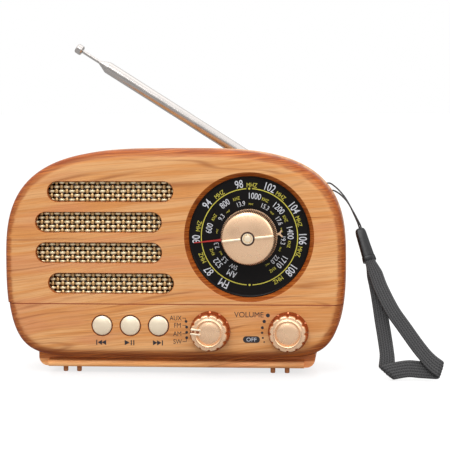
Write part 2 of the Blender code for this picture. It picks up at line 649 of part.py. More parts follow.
def add_band_marker(knob, guide):
    """The raised index bar on the band knob's face."""
    face_y = FRONT_Y - GAP - SMALL_KNOB_HEIGHT
    bar = box("band_mark", (0.0074, 0.0001, -0.0011), (0.0096, 0.0015, 0.0011), guide)
    bar.location = (BAND_CENTRE[0], face_y, BAND_CENTRE[1])
    bar.rotation_euler = (0.0, -BAND_MARK_ANGLE, 0.0)
    boolean(knob, "UNION", bar)


def make_buttons(pearl, black):
    """Three domed keys, each with a rim that holds it behind the panel, and its switch."""
    for name, x in BUTTONS:
        front = FRONT_Y - BUTTON_PROUD
        rim = FRONT_Y + FRONT_WALL + GAP - front
        profile = (
            (0.0016, 0.0), (0.0034, 0.0003), (0.0046, 0.0009), (BUTTON_RADIUS, 0.0017),
            (BUTTON_RADIUS, rim), (0.0068, rim), (0.0068, rim + 0.0010), (0.0018, rim + 0.0010),
            (0.0018, rim + 0.0040),
        )
        turned(f"button_{name}", profile, (x, front, BUTTON_Z), (0, 1, 0), pearl, 24)
        plunger_y = front + rim + 0.0040
        switch_y = plunger_y + BUTTON_TRAVEL + GAP
        box(f"switch_{name}", (x - 0.003, switch_y, BUTTON_Z - 0.003),
            (x + 0.003, BOARD_Y - GAP, BUTTON_Z + 0.003), black)


# ---------------------------------------------------------------- electronics
def make_boards(green, black, steel, ferrite, copper, foil):
    """Main board with its controls, port board with its sockets, aerial coil and battery."""
    prism("main_board", BOARD_OUTLINE, BOARD_Y, BOARD_Y + BOARD_THICKNESS, green)
    for name, centre, half, near in (
        ("tuning_capacitor", DIAL_CENTRE, 0.0100, 0.0078),
        ("band_switch", BAND_CENTRE, 0.0070, 0.0083),
        ("volume_control", VOLUME_CENTRE, 0.0080, 0.0083),
    ):
        x, z = centre
        box(name, (x - half, FRONT_Y + near, z - half), (x + half, BOARD_Y - GAP, z + half), black, 0.0005)

    left, right = PORT_BOARD_SPAN
    box("port_board", (left, PORT_BOARD_Y, PORT_Z - PORT_BOARD_HALF_HEIGHT),
        (right, PORT_BOARD_Y + BOARD_THICKNESS, PORT_Z + PORT_BOARD_HALF_HEIGHT), green)
    socket_near = PORT_BOARD_Y + BOARD_THICKNESS + GAP
    socket_far = BACK_Y - SIDE_WALL - GAP
    sockets = {}
    for name, x, width, height in FLAT_PORTS:
        half_width, half_height = width / 2 - 0.0001, height / 2 - 0.0001
        sockets[name] = box(f"{name}_socket", (x - half_width, socket_near, PORT_Z - half_height),
                            (x + half_width, socket_far, PORT_Z + half_height), steel)
    x, width, height = FLAT_PORTS[0][1:]
    inner_width, inner_height = width / 2 - 0.0001 - SOCKET_WALL, height / 2 - 0.0001 - SOCKET_WALL
    usb_mouth = box("usb_mouth", (x - inner_width, BACK_Y - 0.0120, PORT_Z - inner_height),
                    (x + inner_width, BACK_Y, PORT_Z + inner_height), black)
    boolean(sockets["usb"], "DIFFERENCE", usb_mouth)
    for name, x in ROUND_PORTS:
        radius = ROUND_PORT_RADIUS - GAP
        barrel = ((radius, 0.0), (radius, socket_far - socket_near), (radius / 2, socket_far - socket_near),
                  (radius / 2, 0.0040))
        turned(f"{name}_socket", barrel, (x, socket_near, PORT_Z), (0, 1, 0), black, 20)

    turned("ferrite_rod", ((ROD_RADIUS, 0.0), (ROD_RADIUS, ROD_LENGTH)), ROD_START, (1, 0, 0), ferrite, 20)
    inner, (near, far) = ROD_RADIUS + GAP, COIL_SPAN
    coil = ((inner, near), (COIL_RADIUS, near), (COIL_RADIUS, far), (inner, far))
    turned("aerial_coil", coil, ROD_START, (1, 0, 0), copper, 20, closed=True)

    x, z = BATTERY_CENTRE
    width, depth, height = BATTERY_SIZE
    near = BACK_Y - BATTERY_BAY_DEPTH + GAP
    box("battery", (x - width / 2, near, z - height / 2),
        (x + width / 2, near + depth, z + height / 2), foil, 0.001)


def make_battery_door(wood):
    """Cover of the battery bay, flush with the back."""
    x, z = BATTERY_CENTRE
    width, height = (side - 2 * GAP for side in BATTERY_DOOR_SIZE)
    door = box("battery_door", (-width / 2, -DOOR_THICKNESS, -height / 2), (width / 2, 0.0, height / 2), wood)
    door.location = (x, BACK_Y, z)


# ---------------------------------------------------------------- aerial
def make_aerial(chrome, black):
    """The bolt that holds the aerial through the rebate wall, and the ball-shaped swivel on it."""
    head = 0.0012
    bolt_start = REBATE_WALL_Y - SIDE_WALL - GAP - head
    bolt_end = REBATE_WALL_Y + 0.0002 - bolt_start
    bolt = ((0.0042, 0.0), (0.0042, head), (AERIAL_BOLT_RADIUS, head), (AERIAL_BOLT_RADIUS, bolt_end))
    turned("aerial_mount", bolt, (AERIAL_PIVOT.x, bolt_start, AERIAL_PIVOT.z), (0, 1, 0), black, 20)
    ball = []
    for step in range(1, 10):
        angle = math.radians(18 * step)
        ball.append((AERIAL_BALL_RADIUS * math.sin(angle), -AERIAL_BALL_RADIUS * math.cos(angle)))
    turned("aerial_elbow", ball, AERIAL_PIVOT, (0, 1, 0), chrome, 20)


def make_aerial_tubes(chrome):
    """A neck, then nested tubes whose mouths step out one by one, and the rod with its cap."""
    neck = (
        (0.0012, 0.0042), (0.0024, 0.0050), (0.0024, 0.0080), (AERIAL_TUBE_RADII[0], AERIAL_TUBE_START),
        (AERIAL_TUBE_RADII[0], AERIAL_TUBE_END - 0.0012), (AERIAL_TUBE_RADII[0] - 0.0004, AERIAL_TUBE_END),
        (AERIAL_TUBE_RADII[1] + 0.00015, AERIAL_TUBE_END),
        (AERIAL_TUBE_RADII[0] - AERIAL_TUBE_WALL, AERIAL_TUBE_END - 0.0016),
        (AERIAL_TUBE_RADII[0] - AERIAL_TUBE_WALL, AERIAL_TUBE_START + 0.0010),
    )
    turned("aerial_tube_1", neck, AERIAL_PIVOT, AERIAL_DIRECTION, chrome, 24)
    for number in range(1, len(AERIAL_TUBE_RADII)):
        radius = AERIAL_TUBE_RADII[number]
        start = AERIAL_TUBE_START + 0.0010 + 0.0015 * number
        end = AERIAL_TUBE_END + AERIAL_MOUTH_STEP * number
        tube = (
            (radius, start), (radius, end), (radius - AERIAL_TUBE_WALL, end),
            (radius - AERIAL_TUBE_WALL, start),
        )
        turned(f"aerial_tube_{number + 1}", tube, AERIAL_PIVOT, AERIAL_DIRECTION, chrome, 20, closed=True)
    cap_start = AERIAL_TIP_END - AERIAL_CAP_LENGTH
    tip = (
        (AERIAL_ROD_RADIUS, 0.0250), (AERIAL_ROD_RADIUS, cap_start), (AERIAL_CAP_RADIUS, cap_start + 0.0004),
        (AERIAL_CAP_RADIUS, AERIAL_TIP_END - 0.0006), (AERIAL_CAP_RADIUS - 0.0006, AERIAL_TIP_END),
    )
    turned("aerial_tip", tip, AERIAL_PIVOT, AERIAL_DIRECTION, chrome, 20)


# ---------------------------------------------------------------- wrist strap
def make_strap_cord(black):
    """The thin cord that goes from the sleeve through its two holes and back."""
    points = smooth_route(CORD_ROUTE, CORD_RADIUS * 2 * 2.2)
    curve = bpy.data.curves.new("strap_cord", "CURVE")
    curve.dimensions = "3D"
    spline = curve.splines.new("POLY")
    spline.points.add(len(points) - 1)
    for knot, point in zip(spline.points, points):
        knot.co = (*point, 1.0)
    curve.bevel_depth = CORD_RADIUS
    curve.bevel_resolution = 2
    curve.use_fill_caps = True
    curve.materials.append(black)
    cord = bpy.data.objects.new("strap_cord", curve)
    bpy.context.scene.collection.objects.link(cord)


def flat_ring(centre, across, thick, width, thickness):
    """Eight points around a flat section with round edges."""
    points = []
    for side, level in ((1.0, 0.45), (0.8, 1.0), (-0.8, 1.0), (-1.0, 0.45),
                        (-1.0, -0.45), (-0.8, -1.0), (0.8, -1.0), (1.0, -0.45)):
        points.append(centre + across * (side * width / 2) + thick * (level * thickness / 2))
    return points


def make_strap_sleeve(black):
    """The moulded sleeve that grips the cord and both ends of the braid."""
    along = (SLEEVE_BOTTOM - SLEEVE_TOP).normalized()
    across = STRAP_FACE.cross(along).normalized()
    thick = along.cross(across)
    length = (SLEEVE_BOTTOM - SLEEVE_TOP).length
    rings = []
    for share, width in ((0.0, 0.0030), (0.05, 0.0048), (0.12, 0.0060), (1.0, 0.0072)):
        rings.append(flat_ring(SLEEVE_TOP + along * (share * length), across, thick, width, 0.0044))
    add_object("strap_sleeve", loft(rings), black)


def make_strap_braid(black):
    """The flat braided loop, swept along its route with its face to the front."""
    points = smooth_route(BRAID_ROUTE, 0.0040)
    rings = []
    for i, point in enumerate(points):
        along = (points[min(i + 1, len(points) - 1)] - points[max(i - 1, 0)]).normalized()
        across = STRAP_FACE.cross(along).normalized()
        ends = min(i, len(points) - 1 - i)
        width = BRAID_WIDTH * min(1.0, 0.40 + 0.12 * ends)
        rings.append(flat_ring(point, across, along.cross(across), width, BRAID_THICKNESS))
    add_object("strap_braid", loft(rings), black)


# ---------------------------------------------------------------- assembly
def main():
    for leftover in list(bpy.data.objects):
        bpy.data.objects.remove(leftover, do_unlink=True)

    wood = material("wood_case", (0.69, 0.35, 0.13), 0.42)
    rubber = material("black_rubber", (0.02, 0.02, 0.02), 0.7)
    black = material("black_plastic", (0.012, 0.012, 0.013), 0.35)
    strap = material("black_braid", (0.03, 0.03, 0.032), 0.75)
    gold = material("rose_gold", (0.80, 0.55, 0.38), 0.28, 1.0)
    pearl = material("pearl_champagne", (0.85, 0.70, 0.55), 0.3, 0.5)
    cream = material("cream_cap", (0.85, 0.75, 0.62), 0.4)
    chrome = material("chrome", (0.78, 0.77, 0.74), 0.15, 1.0)
    steel = material("zinc_steel", (0.55, 0.55, 0.56), 0.35, 1.0)
    woven = material("gold_mesh", (0.75, 0.60, 0.28), 0.4, 0.6)
    paper = material("cone_paper", (0.04, 0.04, 0.04), 0.9)
    ferrite = material("ferrite", (0.05, 0.05, 0.055), 0.6)
    copper = material("copper_wire", (0.70, 0.30, 0.14), 0.35, 1.0)
    green = material("circuit_board", (0.02, 0.18, 0.06), 0.45)
    foil = material("battery_foil", (0.30, 0.42, 0.55), 0.4)
    guide = material("guide", (1.0, 0.0, 1.0), 1.0)

    make_front_shell(wood, guide)
    make_control_panel(wood, guide)
    make_rear_shell(wood, guide)
    make_plinth(wood, guide)
    make_feet(rubber)
    make_case_screws(steel)
    make_speaker(woven, steel, paper, rubber, steel)
    make_dial(black, gold, cream, steel, guide)
    band_knob = make_small_knob("band", BAND_CENTRE, gold, steel)
    add_band_marker(band_knob, guide)
    make_small_knob("volume", VOLUME_CENTRE, gold, steel)
    make_buttons(pearl, black)
    make_boards(green, black, steel, ferrite, copper, foil)
    make_battery_door(wood)
    make_aerial(chrome, black)
    make_aerial_tubes(chrome)
    make_strap_cord(black)
    make_strap_sleeve(black)
    make_strap_braid(strap)


main()
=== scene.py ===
"""Looks of the retro table radio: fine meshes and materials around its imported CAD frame.

Metres, +Z up, front towards -Y, in the frame of the CAD model.
"""
import json
import math

import bmesh
import bpy
import numpy as np
from mathutils import Matrix, Vector
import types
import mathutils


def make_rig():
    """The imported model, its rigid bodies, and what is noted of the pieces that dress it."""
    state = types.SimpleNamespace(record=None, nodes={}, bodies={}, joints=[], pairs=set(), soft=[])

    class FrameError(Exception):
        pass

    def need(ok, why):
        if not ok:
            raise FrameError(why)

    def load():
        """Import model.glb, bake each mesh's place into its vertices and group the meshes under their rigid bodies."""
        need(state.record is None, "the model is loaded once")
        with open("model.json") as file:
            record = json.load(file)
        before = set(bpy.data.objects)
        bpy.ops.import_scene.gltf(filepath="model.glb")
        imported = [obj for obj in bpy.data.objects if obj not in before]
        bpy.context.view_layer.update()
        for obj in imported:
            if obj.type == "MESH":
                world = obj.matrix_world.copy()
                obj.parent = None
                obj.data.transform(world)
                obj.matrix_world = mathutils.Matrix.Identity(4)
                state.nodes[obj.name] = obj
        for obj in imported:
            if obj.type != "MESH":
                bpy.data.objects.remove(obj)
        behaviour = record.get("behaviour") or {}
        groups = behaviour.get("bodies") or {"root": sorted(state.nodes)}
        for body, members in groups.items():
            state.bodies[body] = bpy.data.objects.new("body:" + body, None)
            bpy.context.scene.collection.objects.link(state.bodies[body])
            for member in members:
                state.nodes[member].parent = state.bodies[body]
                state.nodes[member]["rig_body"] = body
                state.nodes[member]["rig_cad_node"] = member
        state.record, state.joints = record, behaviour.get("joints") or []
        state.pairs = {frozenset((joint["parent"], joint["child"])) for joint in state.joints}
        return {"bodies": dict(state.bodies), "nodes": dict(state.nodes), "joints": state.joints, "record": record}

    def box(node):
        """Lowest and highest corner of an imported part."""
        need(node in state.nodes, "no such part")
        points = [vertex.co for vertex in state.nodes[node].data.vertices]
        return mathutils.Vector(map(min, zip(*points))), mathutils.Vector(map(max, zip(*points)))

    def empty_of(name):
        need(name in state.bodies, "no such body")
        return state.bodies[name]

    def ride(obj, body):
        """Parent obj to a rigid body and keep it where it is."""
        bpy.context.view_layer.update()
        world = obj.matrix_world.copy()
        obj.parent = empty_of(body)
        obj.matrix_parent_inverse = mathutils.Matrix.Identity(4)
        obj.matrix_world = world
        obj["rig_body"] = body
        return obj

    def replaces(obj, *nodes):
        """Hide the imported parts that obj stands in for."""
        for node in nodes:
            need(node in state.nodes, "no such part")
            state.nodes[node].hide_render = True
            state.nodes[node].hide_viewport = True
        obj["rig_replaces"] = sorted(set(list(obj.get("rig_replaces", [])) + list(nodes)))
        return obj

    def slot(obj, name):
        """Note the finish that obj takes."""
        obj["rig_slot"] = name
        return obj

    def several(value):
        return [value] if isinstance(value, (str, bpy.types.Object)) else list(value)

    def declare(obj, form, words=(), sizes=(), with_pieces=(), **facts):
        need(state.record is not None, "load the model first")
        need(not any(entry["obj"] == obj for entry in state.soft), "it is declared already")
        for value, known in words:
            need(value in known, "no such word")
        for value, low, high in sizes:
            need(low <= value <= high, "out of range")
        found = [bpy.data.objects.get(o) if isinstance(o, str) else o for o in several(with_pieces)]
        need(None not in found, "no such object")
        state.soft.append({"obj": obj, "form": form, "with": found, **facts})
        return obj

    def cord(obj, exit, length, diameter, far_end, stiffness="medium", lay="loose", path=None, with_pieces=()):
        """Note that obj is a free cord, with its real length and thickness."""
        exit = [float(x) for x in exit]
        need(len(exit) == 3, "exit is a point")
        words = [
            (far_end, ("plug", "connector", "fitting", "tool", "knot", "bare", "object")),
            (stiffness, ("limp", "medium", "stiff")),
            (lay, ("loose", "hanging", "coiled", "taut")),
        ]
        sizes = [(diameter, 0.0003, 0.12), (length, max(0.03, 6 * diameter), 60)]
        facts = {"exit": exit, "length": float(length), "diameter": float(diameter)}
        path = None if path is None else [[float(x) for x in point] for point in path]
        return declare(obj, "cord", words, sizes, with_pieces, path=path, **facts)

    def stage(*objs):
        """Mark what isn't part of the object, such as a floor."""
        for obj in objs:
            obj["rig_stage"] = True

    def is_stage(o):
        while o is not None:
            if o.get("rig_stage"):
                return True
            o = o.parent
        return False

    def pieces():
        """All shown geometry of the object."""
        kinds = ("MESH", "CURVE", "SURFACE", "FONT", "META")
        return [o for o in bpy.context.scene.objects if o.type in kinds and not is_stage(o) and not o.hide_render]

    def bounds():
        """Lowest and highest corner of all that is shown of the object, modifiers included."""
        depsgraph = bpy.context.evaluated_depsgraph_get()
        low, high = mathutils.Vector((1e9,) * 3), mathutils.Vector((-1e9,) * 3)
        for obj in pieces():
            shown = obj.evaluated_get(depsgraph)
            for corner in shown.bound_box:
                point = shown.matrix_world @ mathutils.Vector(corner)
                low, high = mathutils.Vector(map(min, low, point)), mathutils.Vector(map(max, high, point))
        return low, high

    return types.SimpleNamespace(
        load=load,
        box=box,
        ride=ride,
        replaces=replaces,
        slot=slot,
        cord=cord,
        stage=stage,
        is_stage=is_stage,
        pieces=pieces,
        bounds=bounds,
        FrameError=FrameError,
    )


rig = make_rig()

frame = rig.load()
CAD_BOX = [list(corner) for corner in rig.bounds()]

# ---------------- sizes taken from the frame
SHELL_LOW, SHELL_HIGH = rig.box("front_shell")
FRONT_Y = SHELL_LOW.y
SPLIT_Y = SHELL_HIGH.y
BACK_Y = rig.box("rear_shell")[1].y
PANEL_TOP_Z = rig.box("control_panel")[1].z
PLINTH_LOW, PLINTH_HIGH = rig.box("plinth")
DOOR_LOW, DOOR_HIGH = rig.box("battery_door")
ELBOW_LOW, ELBOW_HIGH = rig.box("aerial_elbow")
AERIAL_PIVOT = (ELBOW_LOW + ELBOW_HIGH) / 2

# ---------------- casing, as in the CAD model
CASE_MID_Z = 0.0612              # a superellipse, widest at this level
CASE_HALF_WIDTH = SHELL_HIGH.x
CASE_RISE = SHELL_HIGH.z - CASE_MID_Z
CASE_DROP = 0.0520
RISE_EXPONENTS = (3.36, 2.97)    # across, up
DROP_EXPONENTS = (10.7, 2.49)
CASE_POINTS = 240
FRONT_ROUNDING = 0.006
BACK_SHRINK = 0.012
BACK_RUN = 0.034
ROUNDING_STEPS = 12
FRONT_WALL = 0.0030
SIDE_WALL = 0.0026
SPLIT_CHAMFER = 0.0004
INNER_CHAMFER = 0.0015
SEAM_Z = 0.0402
PANEL_INSET = 0.0005
TONGUE_INSET = 0.0010
GAP = 0.0003

SLOT_HEIGHT = 0.0111
SLOTS = (                        # level, left end, right end
    (0.1024, -0.0700, 0.0001),
    (0.0854, -0.0769, -0.0064),
    (0.0684, -0.0769, -0.0064),
    (0.0514, -0.0700, 0.0001),
)
EDGE_ROUNDING = 0.0004           # small rounding where a hole meets the front face
CUT_START, CUT_DEPTH = 0.001, 0.006      # how far a cut in the front starts before it, and goes in

DIAL_CENTRE = (0.0420, 0.0773)
DIAL_MOUTH_RADIUS = 0.0358
DIAL_FLOOR_RADIUS = 0.0336
BUTTON_HOLE_RADIUS = 0.0058
SHAFT_HOLE_RADIUS = 0.0036
BUTTON_Z = 0.0279
BUTTONS = (("previous", -0.0401), ("play", -0.0243), ("next", -0.0085))
BAND_CENTRE = (0.0203, 0.0251)
VOLUME_CENTRE = (0.0636, 0.0250)
SCREW_PLACES = ((-0.0825, 0.0935), (0.0812, 0.0910), (-0.0780, 0.0250), (0.0790, 0.0250))

# ---------------- camera
CAMERA_DISTANCE = 0.850
CAMERA_AZIMUTH = math.radians(3.996)
CAMERA_ELEVATION = math.radians(3.882)
CAMERA_ROLL = math.radians(-0.174)
CAMERA_TARGET = Vector((0.0520, 0.0, 0.09695))
CAMERA_LENS = 120.42
CAMERA_SHIFT = (-0.100, -0.0582)


def link(thing):
    """Put an object in the scene, and return it."""
    bpy.context.scene.collection.objects.link(thing)
    return thing


def make_camera():
    """A long lens, a little above the radio and to its right."""
    flat = math.cos(CAMERA_ELEVATION)
    forward = Vector((-math.sin(CAMERA_AZIMUTH) * flat, math.cos(CAMERA_AZIMUTH) * flat,
                      -math.sin(CAMERA_ELEVATION)))
    data = bpy.data.cameras.new("camera")
    data.lens = CAMERA_LENS
    data.sensor_width = 36
    data.shift_x, data.shift_y = CAMERA_SHIFT
    data.clip_start, data.clip_end = 0.05, 50
    camera = link(bpy.data.objects.new("camera", data))
    camera.location = CAMERA_TARGET - forward * CAMERA_DISTANCE
    turn = forward.to_track_quat("-Z", "Y").to_matrix() @ Matrix.Rotation(CAMERA_ROLL, 3, "Z")
    camera.rotation_euler = turn.to_euler()
    bpy.context.scene.camera = camera


# ---------------- node trees
class Nodes:
    """A node tree, and short ways to add nodes to it."""

    def __init__(self, tree):
        self.nodes, self.links = tree.nodes, tree.links

    def feed(self, socket, value):
        """Set a socket to a value, or join it to another node's output."""
        if isinstance(value, bpy.types.NodeSocket):
            self.links.new(value, socket)
        elif isinstance(value, tuple) and len(value) == 3 and socket.type == "RGBA":
            socket.default_value = (*value, 1.0)
        else:
            socket.default_value = value

    def add(self, kind, inputs, output=0, **settings):
        """A new node: its settings, what goes into its sockets, and the output that is wanted."""
        node = self.nodes.new("ShaderNode" + kind)
        for name, value in settings.items():
            setattr(node, name, value)
        for socket, value in inputs.items():
            self.feed(node.inputs[socket], value)
        return node.outputs[output] if node.outputs else None


class Finish(Nodes):
    """One material with a Principled shader."""

    def __init__(self, name, **sockets):
        self.material = bpy.data.materials.new(name)
        self.material.use_nodes = True
        super().__init__(self.material.node_tree)
        self.show(**sockets)

    def show(self, **sockets):
        """Set or join the shader's sockets, and return the material."""
        shader = self.nodes["Principled BSDF"]
        for socket, value in sockets.items():
            self.feed(shader.inputs[socket.replace("_", " ")], value)
        return self.material

    def place(self):
        """The point's place in the radio's own frame, in metres."""
        return self.add("TexCoord", {}, "Object")

    def axis(self, name):
        return self.add("SeparateXYZ", {"Vector": self.place()}, name)

    def mark(self, name):
        """A number kept on the mesh under this name."""
        return self.add("Attribute", {}, "Fac", attribute_name=name)

    def space(self, size, turn=(0.0, 0.0, 0.0), place=None):
        """Coordinates that count features of this size along X, Y and Z."""
        inputs = {"Vector": place or self.place(), "Rotation": turn, "Scale": size}
        return self.add("Mapping", inputs, "Vector", vector_type="TEXTURE")

    def noise(self, vector, detail=2.0, roughness=0.5):
        inputs = {"Vector": vector, "Scale": 1.0, "Detail": detail, "Roughness": roughness}
        return self.add("TexNoise", inputs, "Fac")

    def cloud(self, size, detail=2.0, roughness=0.5):
        """Noise with features of the same size in all directions."""
        return self.noise(self.space((size,) * 3), detail, roughness)

    def calc(self, operation, first, second):
        return self.add("Math", {0: first, 1: second}, operation=operation)

    def times(self, first, second):
        return self.calc("MULTIPLY", first, second)

    def span(self, value, low, high, start=0.0, end=1.0):
        """A smooth step: start at low, end at high."""
        inputs = {"Value": value, "From Min": low, "From Max": high, "To Min": start, "To Max": end}
        return self.add("MapRange", inputs, "Result", interpolation_type="SMOOTHSTEP")

    def mix(self, share, first, second, blend="MIX"):
        """A blend of two colours."""
        return self.add("Mix", {0: share, 6: first, 7: second}, 2, data_type="RGBA", blend_type=blend)

    def bump(self, height, distance, strength):
        """Relief of this depth in metres, where height goes from 0 to 1."""
        return self.add("Bump", {"Height": height, "Distance": distance, "Strength": strength}, "Normal")


# ---------------- materials
def linear(red, green, blue):
    """Linear RGB of a colour given as 0-255 display values."""
    shares = [value / 255 for value in (red, green, blue)]
    return tuple(s / 12.92 if s <= 0.04045 else ((s + 0.055) / 1.055) ** 2.4 for s in shares)


def tinted(colour, share):
    """A colour made darker or lighter by a share."""
    return tuple(min(1.0, share * c) for c in colour)


GRAIN_TURN = (0.0, math.radians(-6), 0.0)    # the grain rises to the right
GRAIN_LIGHT = linear(226, 171, 116)
GRAIN_MID = linear(214, 146, 84)
GRAIN_PINK = linear(212, 142, 98)
GRAIN_LINE = linear(140, 76, 42)
# Colours of the darkened rim: partly the print's darker edge, partly painted shade; also the painted shade of the
# base's cove
GRAIN_RIM = linear(196, 108, 40)
GRAIN_RIM_LINE = linear(132, 58, 16)
GRAIN_WANDER = 0.016             # how far the grain rises and sinks
RIM_TONE_AND_SHADE = (0.00002, 0.0007, 0.0, 0.72)      # depth from, to, darkening from, to
RIM_TONE_SHADE_SPREAD = (0.0005, 0.0026, 0.0, 0.28)
RIM_FADE = (0.007, 0.018, 1.0, 0.15)
# painted shade in the cove of the base
COVE_PAINTED_SHADE = (-0.0004, 0.0006, 0.0, 0.75)
# painted shade on the hole walls, with the rim's darker edge colour
RECESS_TONE_AND_SHADE = 0.95


def grain(f):
    """Wood grain: its colour, and the streaks, lines and fibres that it is made of."""
    wander = f.noise(f.space((0.110, 0.060, 0.040), GRAIN_TURN), 1.5, 0.45)
    lift = f.times(f.calc("SUBTRACT", wander, 0.5), GRAIN_WANDER)
    place = f.add("VectorMath", {0: f.place(), 1: f.add("CombineXYZ", {"Z": lift})}, "Vector")

    def layer(size, detail=2.0, roughness=0.5):
        return f.noise(f.space(size, GRAIN_TURN, place), detail, roughness)

    streak = layer((0.085, 0.05, 0.0030), 4.0, 0.62)
    fibre = layer((0.030, 0.010, 0.00050), 3.0, 0.7)
    pores = f.span(layer((0.008, 0.004, 0.00035), 1.0), 0.62, 0.74)
    pink = f.span(layer((0.060, 0.040, 0.012)), 0.50, 0.68)
    wave = f.calc("PINGPONG", f.times(layer((0.26, 0.10, 0.022), 1.5), 34.0), 1.0)
    broken = f.span(f.noise(f.space((0.050, 0.03, 0.007), GRAIN_TURN)), 0.42, 0.62)
    line = f.times(f.span(wave, 0.0, 0.30, 1.0, 0.0), broken)

    colour = f.mix(f.span(streak, 0.36, 0.64), GRAIN_MID, GRAIN_LIGHT)
    colour = f.mix(f.times(pink, 0.6), colour, GRAIN_PINK)
    for share in (f.span(fibre, 0.28, 0.70, 0.30, 0.0), f.times(pores, 0.20), f.times(line, 0.5)):
        colour = f.mix(share, colour, GRAIN_LINE)
    return colour, streak, line, fibre


def rim_tone_and_shade(f, streak, rim_y):
    """How dark the wood is made: most at the front edge, unevenly, and on the walls of the recesses; partly the
    print's darker edge colour, partly painted shade.
    """
    uneven = f.calc("ADD", f.times(f.calc("SUBTRACT", streak, 0.5), 3.0), 1.0)
    edge = f.times(f.calc("SUBTRACT", f.axis("Y"), rim_y), uneven)
    rim = f.calc("ADD", f.span(edge, *RIM_TONE_AND_SHADE), f.span(edge, *RIM_TONE_SHADE_SPREAD))
    rim = f.times(rim, f.span(edge, *RIM_FADE))
    return f.calc("MAXIMUM", rim, f.times(f.mark("recess"), RECESS_TONE_AND_SHADE))


def wood(name, rim_y=None, shade=1.0, cove_shade_z=None):
    """Printed wood grain, darkened at the front rim and hole walls (partly its darker edge colour, partly painted
    shade) or in the cove of the base (painted shade).
    """
    f = Finish(name, Coat_Weight=0.03, Coat_Roughness=0.2, Specular_IOR_Level=0.16)
    colour, streak, line, fibre = grain(f)
    edge_and_shade_colour = f.mix(f.span(fibre, 0.40, 0.72), GRAIN_RIM_LINE, GRAIN_RIM)
    if rim_y is not None:
        # front rim and hole walls: partly the print's darker edge colour, partly painted shade
        colour = f.mix(rim_tone_and_shade(f, streak, rim_y), colour, edge_and_shade_colour)
    # the cove of the base: painted shade
    if cove_shade_z is not None:
        low, high, start, end = COVE_PAINTED_SHADE
        colour = f.mix(f.span(f.axis("Z"), cove_shade_z + low, cove_shade_z + high, start, end), colour, edge_and_shade_colour)
    colour = f.mix(1.0, colour, (shade,) * 3, "MULTIPLY")
    relief = f.bump(f.calc("ADD", fibre, f.times(line, -0.6)), 0.00003, 0.5)
    return f.show(Base_Color=colour, Normal=relief, Roughness=f.span(fibre, 0.2, 0.8, 0.44, 0.34))


def plastic(name, colour, roughness, grain_size=0.0004, depth=0.00002, coat=0.0, specular=0.5):
    """Moulded plastic with a fine texture and slightly uneven colour."""
    f = Finish(name, Coat_Weight=coat, Coat_Roughness=0.1, Specular_IOR_Level=specular)
    cloud = f.cloud(0.012)
    return f.show(Base_Color=f.mix(cloud, tinted(colour, 0.86), tinted(colour, 1.12)),
                  Roughness=f.span(cloud, 0.3, 0.7, roughness * 0.9, roughness * 1.1),
                  Normal=f.bump(f.cloud(grain_size), depth, 0.6))


# how dark the painted shade is in a metal's marked recesses
RECESS_SHADE = 0.12


def metal(name, colour, roughness, metallic=1.0, brushing=(0.0006,) * 3, depth=0.000004):
    """Metal with fine brushing, small changes in colour and polish, and painted shade in marked recesses."""
    f = Finish(name, Metallic=metallic)
    cloud = f.cloud(0.009)
    shade = f.mix(cloud, tinted(colour, 0.94), tinted(colour, 1.06))
    shade = f.mix(f.mark("recess"), shade, tinted(colour, RECESS_SHADE))
    return f.show(Base_Color=shade, Normal=f.bump(f.noise(f.space(brushing), 2.0, 0.6), depth, 0.5),
                  Roughness=f.span(cloud, 0.25, 0.75, roughness * 0.85, roughness * 1.15))


def print_ink(name, colour):
    """Screen-printed ink, thin in places."""
    f = Finish(name, Roughness=0.5)
    return f.show(Base_Color=f.mix(f.span(f.cloud(0.0004), 0.25, 0.5), tinted(colour, 0.8), colour))


def braid_yarn(name):
    """Black yarn, with a fine twist and a soft sheen; the stitch crowns are painted lighter as painted highlight and
    the gaps darker as painted shade.
    """
    f = Finish(name, Roughness=0.72, Sheen_Weight=0.12, Sheen_Roughness=0.4,
               Sheen_Tint=(0.6, 0.6, 0.62, 1.0))
    hair = f.noise(f.space((0.00025, 0.00025, 0.00012)), 3.0, 0.7)
    deep = f.mix(f.cloud(0.004), (0.006, 0.006, 0.007), (0.012, 0.012, 0.013))
    high = f.mix(hair, (0.026, 0.026, 0.027), (0.080, 0.078, 0.079))
    return f.show(Base_Color=f.mix(f.span(f.mark("relief"), 0.25, 0.85), deep, high),
                  Normal=f.bump(hair, 0.00005, 0.8))


def grille_metal(name, bright, dark):
    """Lacquered gold wire, with painted light: brighter where it comes forward, painted shade where it goes back."""
    f = Finish(name, Metallic=0.55, Coat_Weight=0.3, Coat_Roughness=0.15)
    spots = f.cloud(0.0011)
    colour = f.mix(f.span(f.mark("relief"), 0.25, 0.9), dark, bright)
    colour = f.mix(f.span(spots, 0.52, 0.70, 0.0, 0.45), colour, tinted(dark, 0.5))
    return f.show(Base_Color=colour, Roughness=f.span(spots, 0.3, 0.7, 0.22, 0.42),
                  Normal=f.bump(spots, 0.00004, 0.5))


def circuit_board(name):
    """Green circuit board with traces."""
    f = Finish(name, Roughness=0.35, Coat_Weight=0.4)
    cells = {"Vector": f.space((0.004,) * 3), "Scale": 1.0}
    edge = f.add("TexVoronoi", cells, "Distance", feature="DISTANCE_TO_EDGE")
    trace = f.span(edge, 0.02, 0.06, 1.0, 0.0)
    return f.show(Base_Color=f.mix(trace, (0.012, 0.10, 0.035), (0.03, 0.20, 0.07)))


# ---------------- building blocks
def mesh_object(name, bm):
    """An object made of a bmesh, with its faces turned outwards."""
    bmesh.ops.recalc_face_normals(bm, faces=bm.faces)
    if bm.calc_volume(signed=True) < 0:
        bmesh.ops.reverse_faces(bm, faces=bm.faces)
    mesh = bpy.data.meshes.new(name)
    bm.to_mesh(mesh)
    bm.free()
    return link(bpy.data.objects.new(name, mesh))


